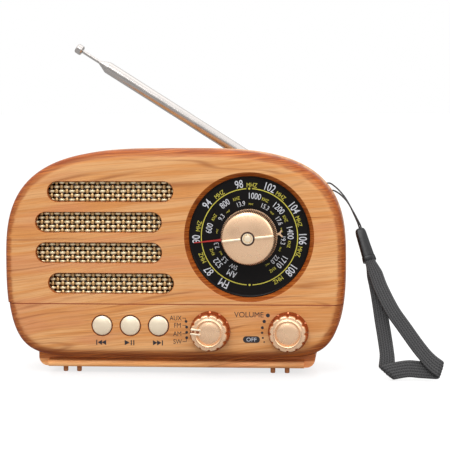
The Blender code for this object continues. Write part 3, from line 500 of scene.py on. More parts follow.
def add_piece(name, bm, finish, body="root", slot="case", replaces=(), smooth_angle=30.0):
    """Turn a bmesh into a piece that rides on a body and may stand for CAD nodes."""
    piece = mesh_object(name, bm)
    piece.data.materials.append(finish)
    smooth(piece, smooth_angle)
    if body:
        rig.ride(piece, body)
        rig.slot(piece, slot)
    if replaces:
        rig.replaces(piece, *replaces)
    return piece


def smooth(piece, angle=30.0):
    piece.data.shade_smooth()
    piece.data.set_sharp_from_angle(angle=math.radians(angle))


def even_faces(piece):
    """Smooth shading that keeps large flat faces flat."""
    smooth(piece)
    modifier = piece.modifiers.new("EvenFaces", "WEIGHTED_NORMAL")
    modifier.keep_sharp = True
    modifier.weight = 100


def evaluated_mesh(thing):
    bpy.context.view_layer.update()
    return bpy.data.meshes.new_from_object(thing.evaluated_get(bpy.context.evaluated_depsgraph_get()))


def carve(piece, cuts, joins=()):
    """Add the joins to a piece, then take the cuts from it; both are bmeshes."""
    guides = []
    for operation, shapes in (("UNION", joins), ("DIFFERENCE", cuts)):
        for bm in shapes:
            guides.append(mesh_object("guide", bm))
            modifier = piece.modifiers.new("Cut", "BOOLEAN")
            modifier.operation = operation
            modifier.object = guides[-1]
    carved = evaluated_mesh(piece)
    piece.modifiers.clear()
    piece.data = carved
    for guide in guides:
        bpy.data.objects.remove(guide, do_unlink=True)


def mark_faces(piece, marked):
    """Mark the faces that the test picks out, for the finish to darken: painted shade, on the wood together with its
    darker edge colour.
    """
    marks = piece.data.attributes.new("recess", "FLOAT", "FACE")
    for polygon, mark in zip(piece.data.polygons, marks.data):
        mark.value = float(marked(polygon.center, polygon.normal))


def loft(rings, closed=False, bm=None):
    """Skin a row of rings that have the same number of points; closed joins the last to the first."""
    bm = bm or bmesh.new()
    loops = [[bm.verts.new(point) for point in ring] for ring in rings]
    pairs = list(zip(loops, loops[1:]))
    if closed:
        pairs.append((loops[-1], loops[0]))
    for near, far in pairs:
        count = len(near)
        for i in range(count):
            j = (i + 1) % count
            bm.faces.new((near[i], near[j], far[j], far[i]))
    if not closed:
        bm.faces.new(loops[0])
        bm.faces.new(loops[-1])
    return bm


def lathe(profile, centre, axis=(0, 1, 0), segments=96, closed=False):
    """A turned bmesh: profile holds (radius, distance along the axis) from one end to the other."""
    direction = Vector(axis).normalized()
    turn = direction.to_track_quat("Z", "X").to_matrix()
    rings = []
    for radius, along in profile:
        middle = Vector(centre) + direction * along
        ring = []
        for i in range(segments):
            angle = 2 * math.pi * i / segments
            ring.append(middle + turn @ Vector((radius * math.cos(angle), radius * math.sin(angle), 0)))
        rings.append(ring)
    return loft(rings, closed)


def arc(centre_radius, centre_along, radius, first, last, steps=6):
    """Profile points on an arc, from one angle to another in degrees."""
    points = []
    for step in range(steps + 1):
        angle = math.radians(first + (last - first) * step / steps)
        points.append((centre_radius + radius * math.cos(angle), centre_along + radius * math.sin(angle)))
    return points


def block(low, high, bevel=0.0, steps=3):
    bm = bmesh.new()
    size = [high[i] - low[i] for i in range(3)]
    middle = [(high[i] + low[i]) / 2 for i in range(3)]
    bmesh.ops.create_cube(bm, size=1.0, matrix=Matrix.Translation(middle) @ Matrix.Diagonal((*size, 1.0)))
    if bevel:
        bmesh.ops.bevel(bm, geom=bm.edges[:], offset=bevel, segments=steps, profile=0.5, affect="EDGES")
    return bm


def stadium(left, right, level, half):
    """Outline of a slot with round ends, as (x, z) points."""
    return [*arc(right - half, level, half, -90, 90, 16), *arc(left + half, level, half, 90, 270, 16)]


def upright(outline, y):
    """An (x, z) outline as points at this depth."""
    return [Vector((x, y, z)) for x, z in outline]


def around(centre, radius, angle, y):
    """The point at this angle and radius from an (x, z) centre."""
    return Vector((centre[0] + radius * math.cos(angle), y, centre[1] + radius * math.sin(angle)))


def smooth_route(points, spacing):
    """Evenly spaced points on the Catmull-Rom curve through the given points."""
    knots = [Vector(point) for point in points]
    knots = [2 * knots[0] - knots[1]] + knots + [2 * knots[-1] - knots[-2]]
    fine = []
    for before, start, end, after in zip(knots, knots[1:], knots[2:], knots[3:]):
        for t in np.linspace(0.0, 1.0, 24, endpoint=False):
            bend = (2 * before - 5 * start + 4 * end - after) * t ** 2
            twist = (3 * start - before - 3 * end + after) * t ** 3
            fine.append((2 * start + (end - before) * t + bend + twist) / 2)
    fine = np.array([*fine, knots[-2]])
    along = np.concatenate([[0.0], np.cumsum(np.linalg.norm(np.diff(fine, axis=0), axis=1))])
    stations = np.linspace(0.0, along[-1], round(along[-1] / spacing) + 1)
    return [Vector(column) for column in zip(*(np.interp(stations, along, fine[:, i]) for i in range(3)))]


def length_of(points):
    return sum((b - a).length for a, b in zip(points, points[1:]))


# ---------------- wrist strap
CORD_RADIUS = 0.00045
BRAID_WIDTH = 0.0080
BRAID_THICKNESS = 0.0022
STRAP_FACE = Vector((0.0, -1.0, 0.42)).normalized()
STRAP_UP = Vector((0.0, STRAP_FACE.z, -STRAP_FACE.y))
STRAP_ORIGIN = Vector((0.0, -0.0320, 0.0076))
SLEEVE_TOP = Vector((0.1027, -0.0018, 0.0796))
SLEEVE_BOTTOM = Vector((0.1080, -0.0082, 0.0636))

# The strap cord goes up from the sleeve, in through one hole, out through the other and back.
CORD_ROUTE = (
    (0.1025, -0.0010, 0.0804),
    (0.1014, 0.0008, 0.0836),
    (0.0996, 0.0032, 0.0874),
    (0.0969, 0.0064, 0.0928),
    (0.0941, 0.0098, 0.0972),
    (0.0909, 0.0140, 0.1007),
    (0.0876, 0.0175, 0.1034),
    (0.0853, 0.0193, 0.1047),
    (0.0833, 0.0197, 0.1046),
    (0.0819, 0.0197, 0.1035),
    (0.0804, 0.0197, 0.1022),
    (0.0789, 0.0197, 0.1009),
    (0.0780, 0.0197, 0.0992),
    (0.0786, 0.0197, 0.0974),
    (0.0803, 0.0197, 0.0965),
    (0.0821, 0.0197, 0.0971),
    (0.0836, 0.0197, 0.0984),
    (0.0851, 0.0197, 0.0997),
    (0.0866, 0.0193, 0.1006),
    (0.0886, 0.0164, 0.1002),
    (0.0917, 0.0113, 0.0985),
    (0.0954, 0.0064, 0.0950),
    (0.0988, 0.0022, 0.0898),
    (0.1015, -0.0010, 0.0851),
    (0.1030, -0.0016, 0.0822),
    (0.1034, -0.0018, 0.0806),
)

# Three straight stretches of the braid, as (x, rise, height) in the strap's own plane: down to the
# right-hand fold, along the floor to the left-hand fold, and back up behind itself.
BRAID_STRETCHES = (
    (
        (0.1083, 0.0600, 0.0013), (0.1090, 0.0580, 0.0013), (0.1116, 0.0518, 0.0016),
        (0.1146, 0.0436, 0.0020), (0.1206, 0.0312, 0.0028), (0.1272, 0.0214, 0.0028),
        (0.1347, 0.0106, 0.0028), (0.1400, 0.0040, 0.0028), (0.1440, 0.0002, 0.0028),
        (0.1474, -0.0020, 0.0028),
    ),
    (
        (0.1474, -0.0020, 0.0), (0.1430, -0.0018, 0.0), (0.1358, -0.0014, 0.0),
        (0.1293, -0.0010, 0.0), (0.1220, -0.0022, 0.0), (0.1172, -0.0034, 0.0),
    ),
    (
        (0.1172, -0.0034, -0.0028), (0.1178, 0.0022, -0.0028), (0.1178, 0.0078, -0.0028),
        (0.1165, 0.0173, -0.0028), (0.1150, 0.0266, -0.0026), (0.1137, 0.0356, -0.0022),
        (0.1123, 0.0441, -0.0018), (0.1103, 0.0535, -0.0014), (0.1087, 0.0600, -0.0013),
    ),
)
FOLD_RADIUS = 0.0014             # half the distance between folded stretches
WALES = 6                        # columns of stitches across the braid
STITCH = 0.00135                 # length of one stitch
STITCH_RELIEF = 0.00035
STITCH_LEAN = 0.9                # how far a stitch slants across its column, in stitches
STITCH_FLOOR = 0.45              # how high the gaps between stitches are
STITCH_POWER = 0.7               # under 1 for a broad stitch and a narrow gap
RIB_NARROWING = 1.9              # how soon a column falls away to its sides
SAMPLES_ACROSS = 6               # points across one column
SAMPLES_ALONG = 5                # rings for each stitch
BRAID_HALF_EDGE = 0.00005        # half the braid's thickness at its very edge, under the stitches
WAY_REACH = 8                    # samples over which the braid's direction is smoothed
END_WIDTH = 0.70                 # the braid is gathered to this share where it enters the sleeve
END_RUN = 0.008
SPREAD_WIDTH = 0.18              # and spreads out by this much along the floor
SPREAD_RUN = 0.012


def make_cord(yarn):
    """The thin cord of the strap."""
    route = smooth_route(CORD_ROUTE, CORD_RADIUS * 2)
    curve = bpy.data.curves.new("strap_loop", "CURVE")
    curve.dimensions = "3D"
    spline = curve.splines.new("POLY")
    spline.points.add(len(route) - 1)
    for knot, point in zip(spline.points, route):
        knot.co = (*point, 1.0)
    curve.bevel_depth = CORD_RADIUS
    curve.bevel_resolution = 4
    curve.use_fill_caps = True
    curve.materials.append(yarn)
    cord = link(bpy.data.objects.new("strap_loop", curve))
    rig.ride(cord, "root")
    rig.slot(cord, "strap")
    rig.replaces(cord, "strap_cord")
    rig.cord(cord, exit=CORD_ROUTE[0], length=length_of(route), diameter=2 * CORD_RADIUS,
            far_end="object", stiffness="limp", lay="hanging")


def stitch_height(across, along):
    """Relief of the braid from 0 to 1: slanted stitches in columns that lean left and right in turn."""
    column = min(WALES - 1, int(across * WALES))
    inside = across * WALES - column - 0.5
    lean = STITCH_LEAN if column % 2 else -STITCH_LEAN
    rib = math.sqrt(max(0.0, 1.0 - (RIB_NARROWING * inside) ** 2))
    stitch = 0.5 + 0.5 * math.cos(2 * math.pi * (along / STITCH + lean * inside))
    return rib * (STITCH_FLOOR + (1.0 - STITCH_FLOOR) * stitch ** STITCH_POWER)


def braid_section(width, along):
    """Points around the braid as (across, out, relief): its front, then its back."""
    count = WALES * SAMPLES_ACROSS
    points = []
    for side, shift in ((1, 0.0), (-1, STITCH / 2)):
        for i in range(count + 1):
            share = i / count
            relief = stitch_height(share, along + shift)
            crown = (1 - abs(2 * share - 1) ** 4) ** 0.5
            half = (BRAID_THICKNESS / 2 - STITCH_RELIEF) * crown + relief * STITCH_RELIEF
            points.append((side * (0.5 - share) * width, side * (half + BRAID_HALF_EDGE), relief))
    return points


class FoldedBraid:
    """A flat strip in the strap's plane, folded over at both lower corners."""

    def __init__(self, spacing):
        self.spacing = spacing
        self.stretches = [smooth_route(points, spacing) for points in BRAID_STRETCHES]
        self.lengths = [spacing * (len(stretch) - 1) for stretch in self.stretches]

    def spread(self, travelled):
        """How far the braid is spread out, from 0 on the upright stretches to 1 along the floor."""
        middle = self.lengths[0] + self.lengths[1] / 2
        beyond = abs(travelled - middle) - self.lengths[1] / 2
        return min(1.0, max(0.0, 1.0 - beyond / SPREAD_RUN))

    def lie(self, number, along):
        """Place, height and direction on a stretch, carried on straight past its ends."""
        stretch = self.stretches[number]
        last = len(stretch) - 1
        index = min(max(along / self.spacing, 0.0), float(last))
        low = min(int(index), last - 1)
        place = stretch[low].lerp(stretch[low + 1], index - low)
        ahead = stretch[min(low + WAY_REACH, last)] - stretch[max(low - WAY_REACH, 0)]
        way = Vector((ahead.x, ahead.y)).normalized()
        over = along - index * self.spacing
        return Vector((place.x + way.x * over, place.y + way.y * over)), place.z, way

    def flat(self, number, along, across):
        """A point of one stretch in the strap's plane, with the height of its middle."""
        place, height, way = self.lie(number, along)
        side = 1.0 if number % 2 == 0 else -1.0
        return place + Vector((-way.y, way.x)) * (across * side), height

    def fold(self, number, along, across, out):
        """A point near the fold at the end of a stretch, or None beyond it."""
        corner, height, before = self.lie(number, self.lengths[number])
        after = self.lie(number + 1, 0.0)[2]
        crease = (before + after).normalized()
        over = Vector((crease.y, -crease.x))
        if over.dot(before) < 0:
            over = -over
        point, level = self.flat(number, along, across)
        beyond = (point - corner).dot(over)
        half = math.pi * FOLD_RADIUS / 2
        facing = 1.0 if number % 2 == 0 else -1.0
        if beyond < -half:
            return point, level + facing * out
        if beyond > half:
            return None
        angle = (beyond + half) / FOLD_RADIUS
        outer = FOLD_RADIUS + facing * out
        reach = -half + outer * math.sin(angle)
        return point + over * (reach - beyond), height - FOLD_RADIUS + outer * math.cos(angle)

    def at(self, travelled, across, out):
        """World place of a point on the strip: its length along, across, and out of its face."""
        number, along = 0, travelled
        while number < 2 and along > self.lengths[number]:
            along -= self.lengths[number]
            number += 1
        found = None
        if number and along < BRAID_WIDTH:
            found = self.fold(number - 1, along + self.lengths[number - 1], across, out)
        elif number < 2:
            found = self.fold(number, along, across, out)
            if found is None:
                number, along = number + 1, along - self.lengths[number]
        if found is None:
            point, level = self.flat(number, along, across)
            found = point, level + (out if number % 2 == 0 else -out)
        point, level = found
        return STRAP_ORIGIN + Vector((point.x, 0, 0)) + STRAP_UP * point.y + STRAP_FACE * level


def mark_relief(bm, reliefs, first=0):
    """Keep how far each vertex stands out, from the first one on, for the finish to shade."""
    layer = bm.verts.layers.float.get("relief") or bm.verts.layers.float.new("relief")
    bm.verts.ensure_lookup_table()
    for vertex, relief in zip(bm.verts[first:], reliefs):
        vertex[layer] = relief


def make_braid(yarn):
    """The flat braided loop, with real stitches on both faces."""
    spacing = STITCH / SAMPLES_ALONG
    braid = FoldedBraid(spacing)
    stations = [i * spacing for i in range(int(sum(braid.lengths) / spacing))]
    rings, reliefs = [], []
    for travelled in stations:
        ends = min(travelled, stations[-1] - travelled)
        gathered = min(1.0, END_WIDTH + (1.0 - END_WIDTH) * ends / END_RUN)
        width = BRAID_WIDTH * gathered * (1.0 + SPREAD_WIDTH * braid.spread(travelled))
        section = braid_section(width, travelled)
        rings.append([braid.at(travelled, across, out) for across, out, _ in section])
        reliefs += [relief for _, _, relief in section]
    bm = loft(rings)
    mark_relief(bm, reliefs)
    piece = add_piece("strap_band", bm, yarn, "root", "strap", ["strap_braid"], 75)
    return piece, [braid.at(travelled, 0.0, 0.0) for travelled in stations]


SLEEVE_STATIONS = (              # share of the length, width, depth: dome, body, waist line, collar
    (-0.050, 0.0020, 0.0018), (-0.040, 0.0034, 0.0028), (-0.015, 0.0047, 0.0036),
    (0.030, 0.0056, 0.0041), (0.110, 0.0061, 0.0044), (0.300, 0.0063, 0.0045),
    (0.600, 0.0066, 0.0045), (0.860, 0.0070, 0.0045), (0.880, 0.0070, 0.0045),
    (0.886, 0.0067, 0.0042), (0.894, 0.0067, 0.0042), (0.900, 0.0074, 0.0050),
    (1.040, 0.0078, 0.0056), (1.060, 0.0074, 0.0052),
)
SLEEVE_POINTS = 40
SLEEVE_SQUARENESS = 0.62         # 1 would be an ellipse, 0 a rectangle


def make_sleeve(rubber):
    """The moulded sleeve, a lofted rounded rectangle."""
    axis = SLEEVE_BOTTOM - SLEEVE_TOP
    across = STRAP_FACE.cross(axis.normalized()).normalized()
    thick = axis.normalized().cross(across)
    rings = []
    for share, width, depth in SLEEVE_STATIONS:
        ring = []
        for i in range(SLEEVE_POINTS):
            angle = 2 * math.pi * i / SLEEVE_POINTS
            c, s = math.cos(angle), math.sin(angle)
            x = math.copysign(abs(c) ** SLEEVE_SQUARENESS, c) * width / 2
            y = math.copysign(abs(s) ** SLEEVE_SQUARENESS, s) * depth / 2
            ring.append(SLEEVE_TOP + axis * share + across * x + thick * y)
        rings.append(ring)
    return add_piece("strap_grip", loft(rings), rubber, "root", "strap_plastic", ["strap_sleeve"], 50)


def make_strap():
    yarn = braid_yarn("strap_yarn")
    make_cord(plastic("cord_yarn", (0.014, 0.014, 0.016), 0.55, 0.0002, 0.00003))
    sleeve = make_sleeve(plastic("sleeve_rubber", (0.008, 0.008, 0.009), 0.34, 0.0003, 0.00001, 0.1, 0.3))
    braid, route = make_braid(yarn)
    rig.cord(braid, exit=route[0], length=length_of(route), diameter=BRAID_WIDTH, far_end="object",
            stiffness="limp", lay="hanging", path=route[::4], with_pieces=[sleeve])


# ---------------- casing
def case_outline(inset=0.0):
    """Evenly spaced (x, z) points around the casing, moved inwards by inset."""
    turn = np.linspace(0.0, 2 * math.pi, 8001)
    across, up = np.cos(turn), np.sin(turn)
    above = up >= 0
    across_power = 2 / np.where(above, RISE_EXPONENTS[0], DROP_EXPONENTS[0])
    up_power = 2 / np.where(above, RISE_EXPONENTS[1], DROP_EXPONENTS[1])
    height = np.where(above, CASE_RISE, CASE_DROP) - inset
    x = (CASE_HALF_WIDTH - inset) * np.sign(across) * np.abs(across) ** across_power
    z = CASE_MID_Z + height * np.sign(up) * np.abs(up) ** up_power
    along = np.concatenate([[0.0], np.cumsum(np.hypot(np.diff(x), np.diff(z)))])
    stations = np.linspace(0.0, along[-1], CASE_POINTS, endpoint=False)
    return list(zip(np.interp(stations, along, x), np.interp(stations, along, z)))


def case_ring(inset, y):
    return upright(case_outline(inset), y)


def rounded_end(inset, edge_y, shrink, run):
    """Rings of an elliptic rounding, from the flat face at edge_y to the side wall."""
    rings = []
    for step in range(ROUNDING_STEPS + 1):
        angle = math.radians(90 * step / ROUNDING_STEPS)
        side = inset + shrink * (1 - math.sin(angle))
        rings.append(case_ring(side, edge_y + run * (1 - math.cos(angle))))
    return rings


def front_half(inset):
    """The casing's front half as a cup that opens backwards."""
    inside, floor_y = inset + SIDE_WALL, FRONT_Y + FRONT_WALL
    return loft([
        *rounded_end(inset, FRONT_Y, FRONT_ROUNDING, FRONT_ROUNDING),
        case_ring(inset, SPLIT_Y - SPLIT_CHAMFER),
        case_ring(inset + SPLIT_CHAMFER, SPLIT_Y),
        case_ring(inside, SPLIT_Y),
        case_ring(inside, floor_y + INNER_CHAMFER),
        case_ring(inside + INNER_CHAMFER, floor_y),
    ])


def mouth_steps(steps=5):
    """(y, offset) pairs for a hole whose mouth is rounded at the front face."""
    yield FRONT_Y - CUT_START, EDGE_ROUNDING
    for step in range(steps + 1):
        angle = math.radians(90 * step / steps)
        yield FRONT_Y + EDGE_ROUNDING * (1 - math.cos(angle)), EDGE_ROUNDING * (1 - math.sin(angle))
    yield FRONT_Y + CUT_DEPTH, 0.0


def slot_cutter(level, left, right):
    return loft([upright(stadium(left - offset, right + offset, level, SLOT_HEIGHT / 2 + offset), y)
                 for y, offset in mouth_steps()])


def round_cutter(centre, radius, slope=0.0, segments=96):
    """A round hole with a rounded mouth; slope is how fast it narrows."""
    profile = [(radius + offset - slope * (y - FRONT_Y), y) for y, offset in mouth_steps()]
    return lathe(profile, (centre[0], 0.0, centre[1]), segments=segments)


BELOW, ABOVE = -0.01, 0.16       # levels under and over the radio
BESIDE = 0.12
OUTSIDE = 0.01                   # a distance past the casing
OVERREACH = 0.002                # how far a cut in the back goes past the solid
FACING = 0.92                    # a face whose normal has this much of Y counts as facing forwards
TONGUE_GAP = 0.00003


def slab(low_y, low_z, high_y, high_z):
    """A block wider than the casing, to cut with."""
    return block((-BESIDE, low_y, low_z), (BESIDE, high_y, high_z))


def front_slab(low_z, high_z):
    return slab(FRONT_Y - OUTSIDE, low_z, SPLIT_Y + OUTSIDE, high_z)


def in_front_hole(centre, normal):
    """Whether a face is the wall of a hole: within the flat of the front, and not facing forwards."""
    x, y, z = centre
    rise, powers = (CASE_RISE, RISE_EXPONENTS) if z > CASE_MID_Z else (CASE_DROP, DROP_EXPONENTS)
    across = abs(x) / (CASE_HALF_WIDTH - FRONT_ROUNDING - GAP)
    up = abs(z - CASE_MID_Z) / (rise - FRONT_ROUNDING - GAP)
    inside = across ** powers[0] + up ** powers[1] < 1.0
    return inside and abs(normal.y) < FACING and y < FRONT_Y + FRONT_WALL + EDGE_ROUNDING / 2


def make_front(finish):
    """Upper front of the casing, with the speaker slots and the conical dial recess."""
    shell = add_piece("case_front", front_half(0.0), finish, "root", "case", ["front_shell"])
    slope = (DIAL_MOUTH_RADIUS - DIAL_FLOOR_RADIUS) / FRONT_WALL
    slots = [slot_cutter(*slot) for slot in SLOTS]
    dial = round_cutter(DIAL_CENTRE, DIAL_MOUTH_RADIUS, slope, 192)
    carve(shell, [front_slab(BELOW, SEAM_Z), *slots, dial])
    # mark the hole walls for the wood's darker edge colour and painted shade
    mark_faces(shell, in_front_hole)
    even_faces(shell)


def make_tongue(finish):
    """The panel's tongue, which closes the seam a little way behind the face, coloured brown as painted shade of the
    seam.
    """
    tongue = add_piece("case_tongue", front_half(TONGUE_INSET), finish, "root", "case")
    carve(tongue, [front_slab(BELOW, PANEL_TOP_Z + TONGUE_GAP), front_slab(SEAM_Z - TONGUE_GAP, ABOVE)])
    smooth(tongue)


def make_panel(finish):
    """Lower front of the casing, with holes for the keys and the knob shafts."""
    panel = add_piece("case_panel", front_half(PANEL_INSET), finish, "root", "case", ["control_panel"])
    holes = [round_cutter((x, BUTTON_Z), BUTTON_HOLE_RADIUS) for _, x in BUTTONS]
    holes += [round_cutter(centre, SHAFT_HOLE_RADIUS) for centre in (BAND_CENTRE, VOLUME_CENTRE)]
    carve(panel, [front_slab(PANEL_TOP_Z, ABOVE), *holes])
    # mark the hole walls for the wood's darker edge colour and painted shade
    mark_faces(panel, in_front_hole)
    even_faces(panel)


REBATE_Z = 0.1030
REBATE_WALL_Y = BACK_Y - 0.0090
BAY_FLOOR_Y = BACK_Y - 0.0100
BAY_WALL, BAY_FLOOR = 0.0014, 0.0015
PORT_Z = 0.0560
PORT_DEPTH = 0.0060
FLAT_PORTS = ((0.0300, 0.0134, 0.0060), (0.0475, 0.0124, 0.0022))    # x, width, height
ROUND_PORTS = (0.0610, 0.0720)
ROUND_PORT_RADIUS = 0.0032
SCREW_SEAT_Y = BACK_Y - 0.0120
SCREW_POST_RADIUS, SCREW_WELL_RADIUS, SCREW_HOLE_RADIUS = 0.0034, 0.0028, 0.0018
STRAP_HOLE_ANGLE = math.radians(41)
STRAP_HOLE_CENTRE = Vector((0.0835, BACK_Y - 0.0140, 0.1016))
STRAP_HOLE_SPACING = 0.0050
STRAP_HOLE_RADIUS = 0.0012
STRAP_HOLE_LENGTH = 0.012
PIVOT_HOLE_RADIUS = 0.0023


def back_solid(inset, near_y):
    return loft([*rounded_end(inset, BACK_Y - inset, BACK_SHRINK, -BACK_RUN), case_ring(inset, near_y)])


def bay(wall, near_y, far_y):
    margin = GAP + wall
    low = (DOOR_LOW.x - margin, near_y, DOOR_LOW.z - margin)
    return block(low, (DOOR_HIGH.x + margin, far_y, DOOR_HIGH.z + margin))


def back_hole(x, z, radius, near_y, far_y):
    return lathe(((radius, near_y), (radius, far_y)), (x, 0.0, z), segments=48)


def back_openings():
    """Everything that is cut from the back half after it has been hollowed."""
    outside = BACK_Y + OVERREACH
    port_y = BACK_Y - PORT_DEPTH
    yield bay(0.0, BAY_FLOOR_Y, outside)
    for x, width, height in FLAT_PORTS:
        low = (x - width / 2, port_y, PORT_Z - height / 2)
        yield block(low, (x + width / 2, outside, PORT_Z + height / 2))
    for x in ROUND_PORTS:
        yield back_hole(x, PORT_Z, ROUND_PORT_RADIUS, port_y, outside)
    out = Vector((math.cos(STRAP_HOLE_ANGLE), 0.0, math.sin(STRAP_HOLE_ANGLE)))
    along = Vector((-out.z, 0.0, out.x))
    hole = ((STRAP_HOLE_RADIUS, 0.0), (STRAP_HOLE_RADIUS, STRAP_HOLE_LENGTH))
    for side in (1, -1):
        middle = STRAP_HOLE_CENTRE + along * (side * STRAP_HOLE_SPACING / 2)
        yield lathe(hole, middle - out * (STRAP_HOLE_LENGTH / 2), out, 32)
    for x, z in SCREW_PLACES:
        yield back_hole(x, z, SCREW_HOLE_RADIUS, SPLIT_Y - OVERREACH, outside)
        yield back_hole(x, z, SCREW_WELL_RADIUS, SCREW_SEAT_Y, outside)
    near_y, far_y = REBATE_WALL_Y - CUT_DEPTH, REBATE_WALL_Y + OVERREACH
    yield back_hole(AERIAL_PIVOT.x, AERIAL_PIVOT.z, PIVOT_HOLE_RADIUS, near_y, far_y)


def make_back(finish):
    """Back half of the casing, hollow, with its rebate, bay, sockets, strap holes and screw wells."""
    near_y = SPLIT_Y + GAP
    behind = BACK_Y + OUTSIDE
    hollow = add_piece("hollow", back_solid(SIDE_WALL, near_y - OVERREACH), finish, body=None)
    posts = [back_hole(x, z, SCREW_POST_RADIUS, near_y, BACK_Y) for x, z in SCREW_PLACES]
    rebate_wall = slab(REBATE_WALL_Y - SIDE_WALL, REBATE_Z - SIDE_WALL, behind, ABOVE)
    carve(hollow, [rebate_wall, bay(BAY_WALL, BAY_FLOOR_Y - BAY_FLOOR, BACK_Y), *posts])
    inside = bmesh.new()
    inside.from_mesh(hollow.data)
    bpy.data.objects.remove(hollow, do_unlink=True)

    shell = add_piece("case_back", back_solid(0.0, near_y), finish, "root", "case", ["rear_shell"])
    carve(shell, [slab(REBATE_WALL_Y, REBATE_Z, behind, ABOVE), inside, *back_openings()])
    even_faces(shell)


PLINTH_HALF_WIDTH = PLINTH_HIGH.x
PLINTH_FRONT_Y = FRONT_Y + 0.0100
PLINTH_CORNER = 0.005
PLINTH_BLOCK_TOP = 0.021         # the casing is then cut out of the block
LIP_HALF_WIDTH = 0.0720
LIP_TOP_Z = 0.0072
LIP_ROOT_Y = PLINTH_FRONT_Y + 0.003
COVE_RADIUS, COVE_OVERLAP = 0.0030, 0.0008


def make_base(finish):
    """The base under the casing: rounded ends, a concave cove and a rolled lip along the bottom."""
    body = block((-PLINTH_HALF_WIDTH, PLINTH_FRONT_Y, PLINTH_LOW.z),
                 (PLINTH_HALF_WIDTH, PLINTH_HIGH.y, PLINTH_BLOCK_TOP))
    corners = [edge for edge in body.edges if abs(edge.verts[0].co.y - edge.verts[1].co.y) > PLINTH_CORNER]
    bmesh.ops.bevel(body, geom=corners, offset=PLINTH_CORNER, segments=10, profile=0.5, affect="EDGES")
    base = add_piece("case_base", body, finish, "root", "case", ["plinth"])

    nose = (LIP_TOP_Z - PLINTH_LOW.z) / 2
    cove_y = PLINTH_FRONT_Y + COVE_OVERLAP - COVE_RADIUS
    profile = [
        (LIP_ROOT_Y, PLINTH_LOW.z),
        *arc(PLINTH_LOW.y + nose, PLINTH_LOW.z + nose, nose, -90, -270),
        *arc(cove_y, LIP_TOP_Z + COVE_RADIUS, COVE_RADIUS, -90, 0, 8),
        (LIP_ROOT_Y, LIP_TOP_Z + COVE_RADIUS),
    ]
    lip = loft([[(x, y, z) for y, z in profile] for x in (-LIP_HALF_WIDTH, LIP_HALF_WIDTH)])
    carve(base, [back_solid(-GAP, FRONT_Y - OUTSIDE)], [lip])
    even_faces(base)


FOOT_ROUNDING = 0.0005


def make_feet(finish):
    """Eight small round feet with a soft lower edge."""
    for row in ("front", "rear"):
        for number in range(1, 5):
            low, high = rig.box(f"foot_{row}_{number}")
            radius = (high.x - low.x) / 2
            edge = arc(radius - FOOT_ROUNDING, FOOT_ROUNDING, FOOT_ROUNDING, -90, 0, 5)
            foot = lathe([*edge, (radius, high.z), (radius / 2, high.z)],
                         ((low.x + high.x) / 2, (low.y + high.y) / 2, 0.0), (0, 0, 1), 40)
            add_piece(f"pad_{row}_{number}", foot, finish, "root", "feet", [f"foot_{row}_{number}"])


# ---------------- speaker grille
WEAVE_X = 0.00287                # distance between upright wires
WEAVE_Z = 0.00246                # distance between level wires
WIRE_WIDTH = 0.00158
WIRE_HALF_DEPTH = 0.00030
WEAVE_DEPTH = 0.00042            # how far a wire swings to either side
WEAVE_OFFSET = 0.0004            # how far behind the plate's middle the weave lies
WIRE_PINCH = 0.14                # how much a wire narrows as it goes behind another, from its middle
WIRE_POINTS = 10                 # around a wire
WIRE_RINGS = 8                   # from one crossing to the next


def add_wire(bm, start, direction, side, length, pitch, phase):
    """One flat wire, waving over and under the wires that cross it."""
    steps = int(length / pitch * WIRE_RINGS)
    rings, reliefs = [], []
    for i in range(steps + 1):
        along = length * i / steps
        swing = math.cos(math.pi * along / pitch + phase)
        centre = start + direction * along + Vector((0, -WEAVE_DEPTH * swing, 0))
        half_width = WIRE_WIDTH / 2 * (1.0 - WIRE_PINCH + WIRE_PINCH * swing)
        ring = []
        for k in range(WIRE_POINTS):
            angle = 2 * math.pi * k / WIRE_POINTS
            out = Vector((0, -WIRE_HALF_DEPTH * math.sin(angle), 0))
            ring.append(centre + side * (math.cos(angle) * half_width) + out)
        rings.append(ring)
        reliefs += [0.5 + 0.5 * swing] * WIRE_POINTS
    first = len(bm.verts)
    loft(rings, bm=bm)
    mark_relief(bm, reliefs, first)


def make_weave():
    """The woven wire behind the slots: level wires and upright wires, each in its own mesh."""
    low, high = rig.box("speaker_grille")
    columns, rows = int((high.x - low.x) / WEAVE_X), int((high.z - low.z) / WEAVE_Z)
    corner = Vector((low.x + WEAVE_X / 2, (low.y + high.y) / 2 + WEAVE_OFFSET, low.z + WEAVE_Z / 2))
    right, up = Vector((1, 0, 0)), Vector((0, 0, 1))
    # The level wires are painted lighter than the upright ones: lit and shaded copies of one wire
    level_finish = grille_metal("grille_level", linear(250, 232, 190), linear(160, 120, 66))
    upright_finish = grille_metal("grille_upright", linear(214, 174, 116), linear(104, 62, 34))
    for name, finish, way, side, pitch, spacing, crossings, wires, turn in (
        ("level", level_finish, right, up, WEAVE_X, WEAVE_Z, columns, rows, 0),
        ("upright", upright_finish, up, right, WEAVE_Z, WEAVE_X, rows, columns, 1),
    ):
        bm = bmesh.new()
        for number in range(wires):
            start = corner + side * (number * spacing)
            add_wire(bm, start, way, side, (crossings - 1) * pitch, pitch, math.pi * (number + turn))
        add_piece(f"grille_{name}_wires", bm, finish, "root", "grille", ["speaker_grille"], 60)


# ---------------- printing
INK_THICKNESS = 0.00002
INK_LIFT = INK_THICKNESS + 0.00001       # from the printed face to the front of the ink
STROKE_LIFT = 0.000003                   # between two strokes that cross


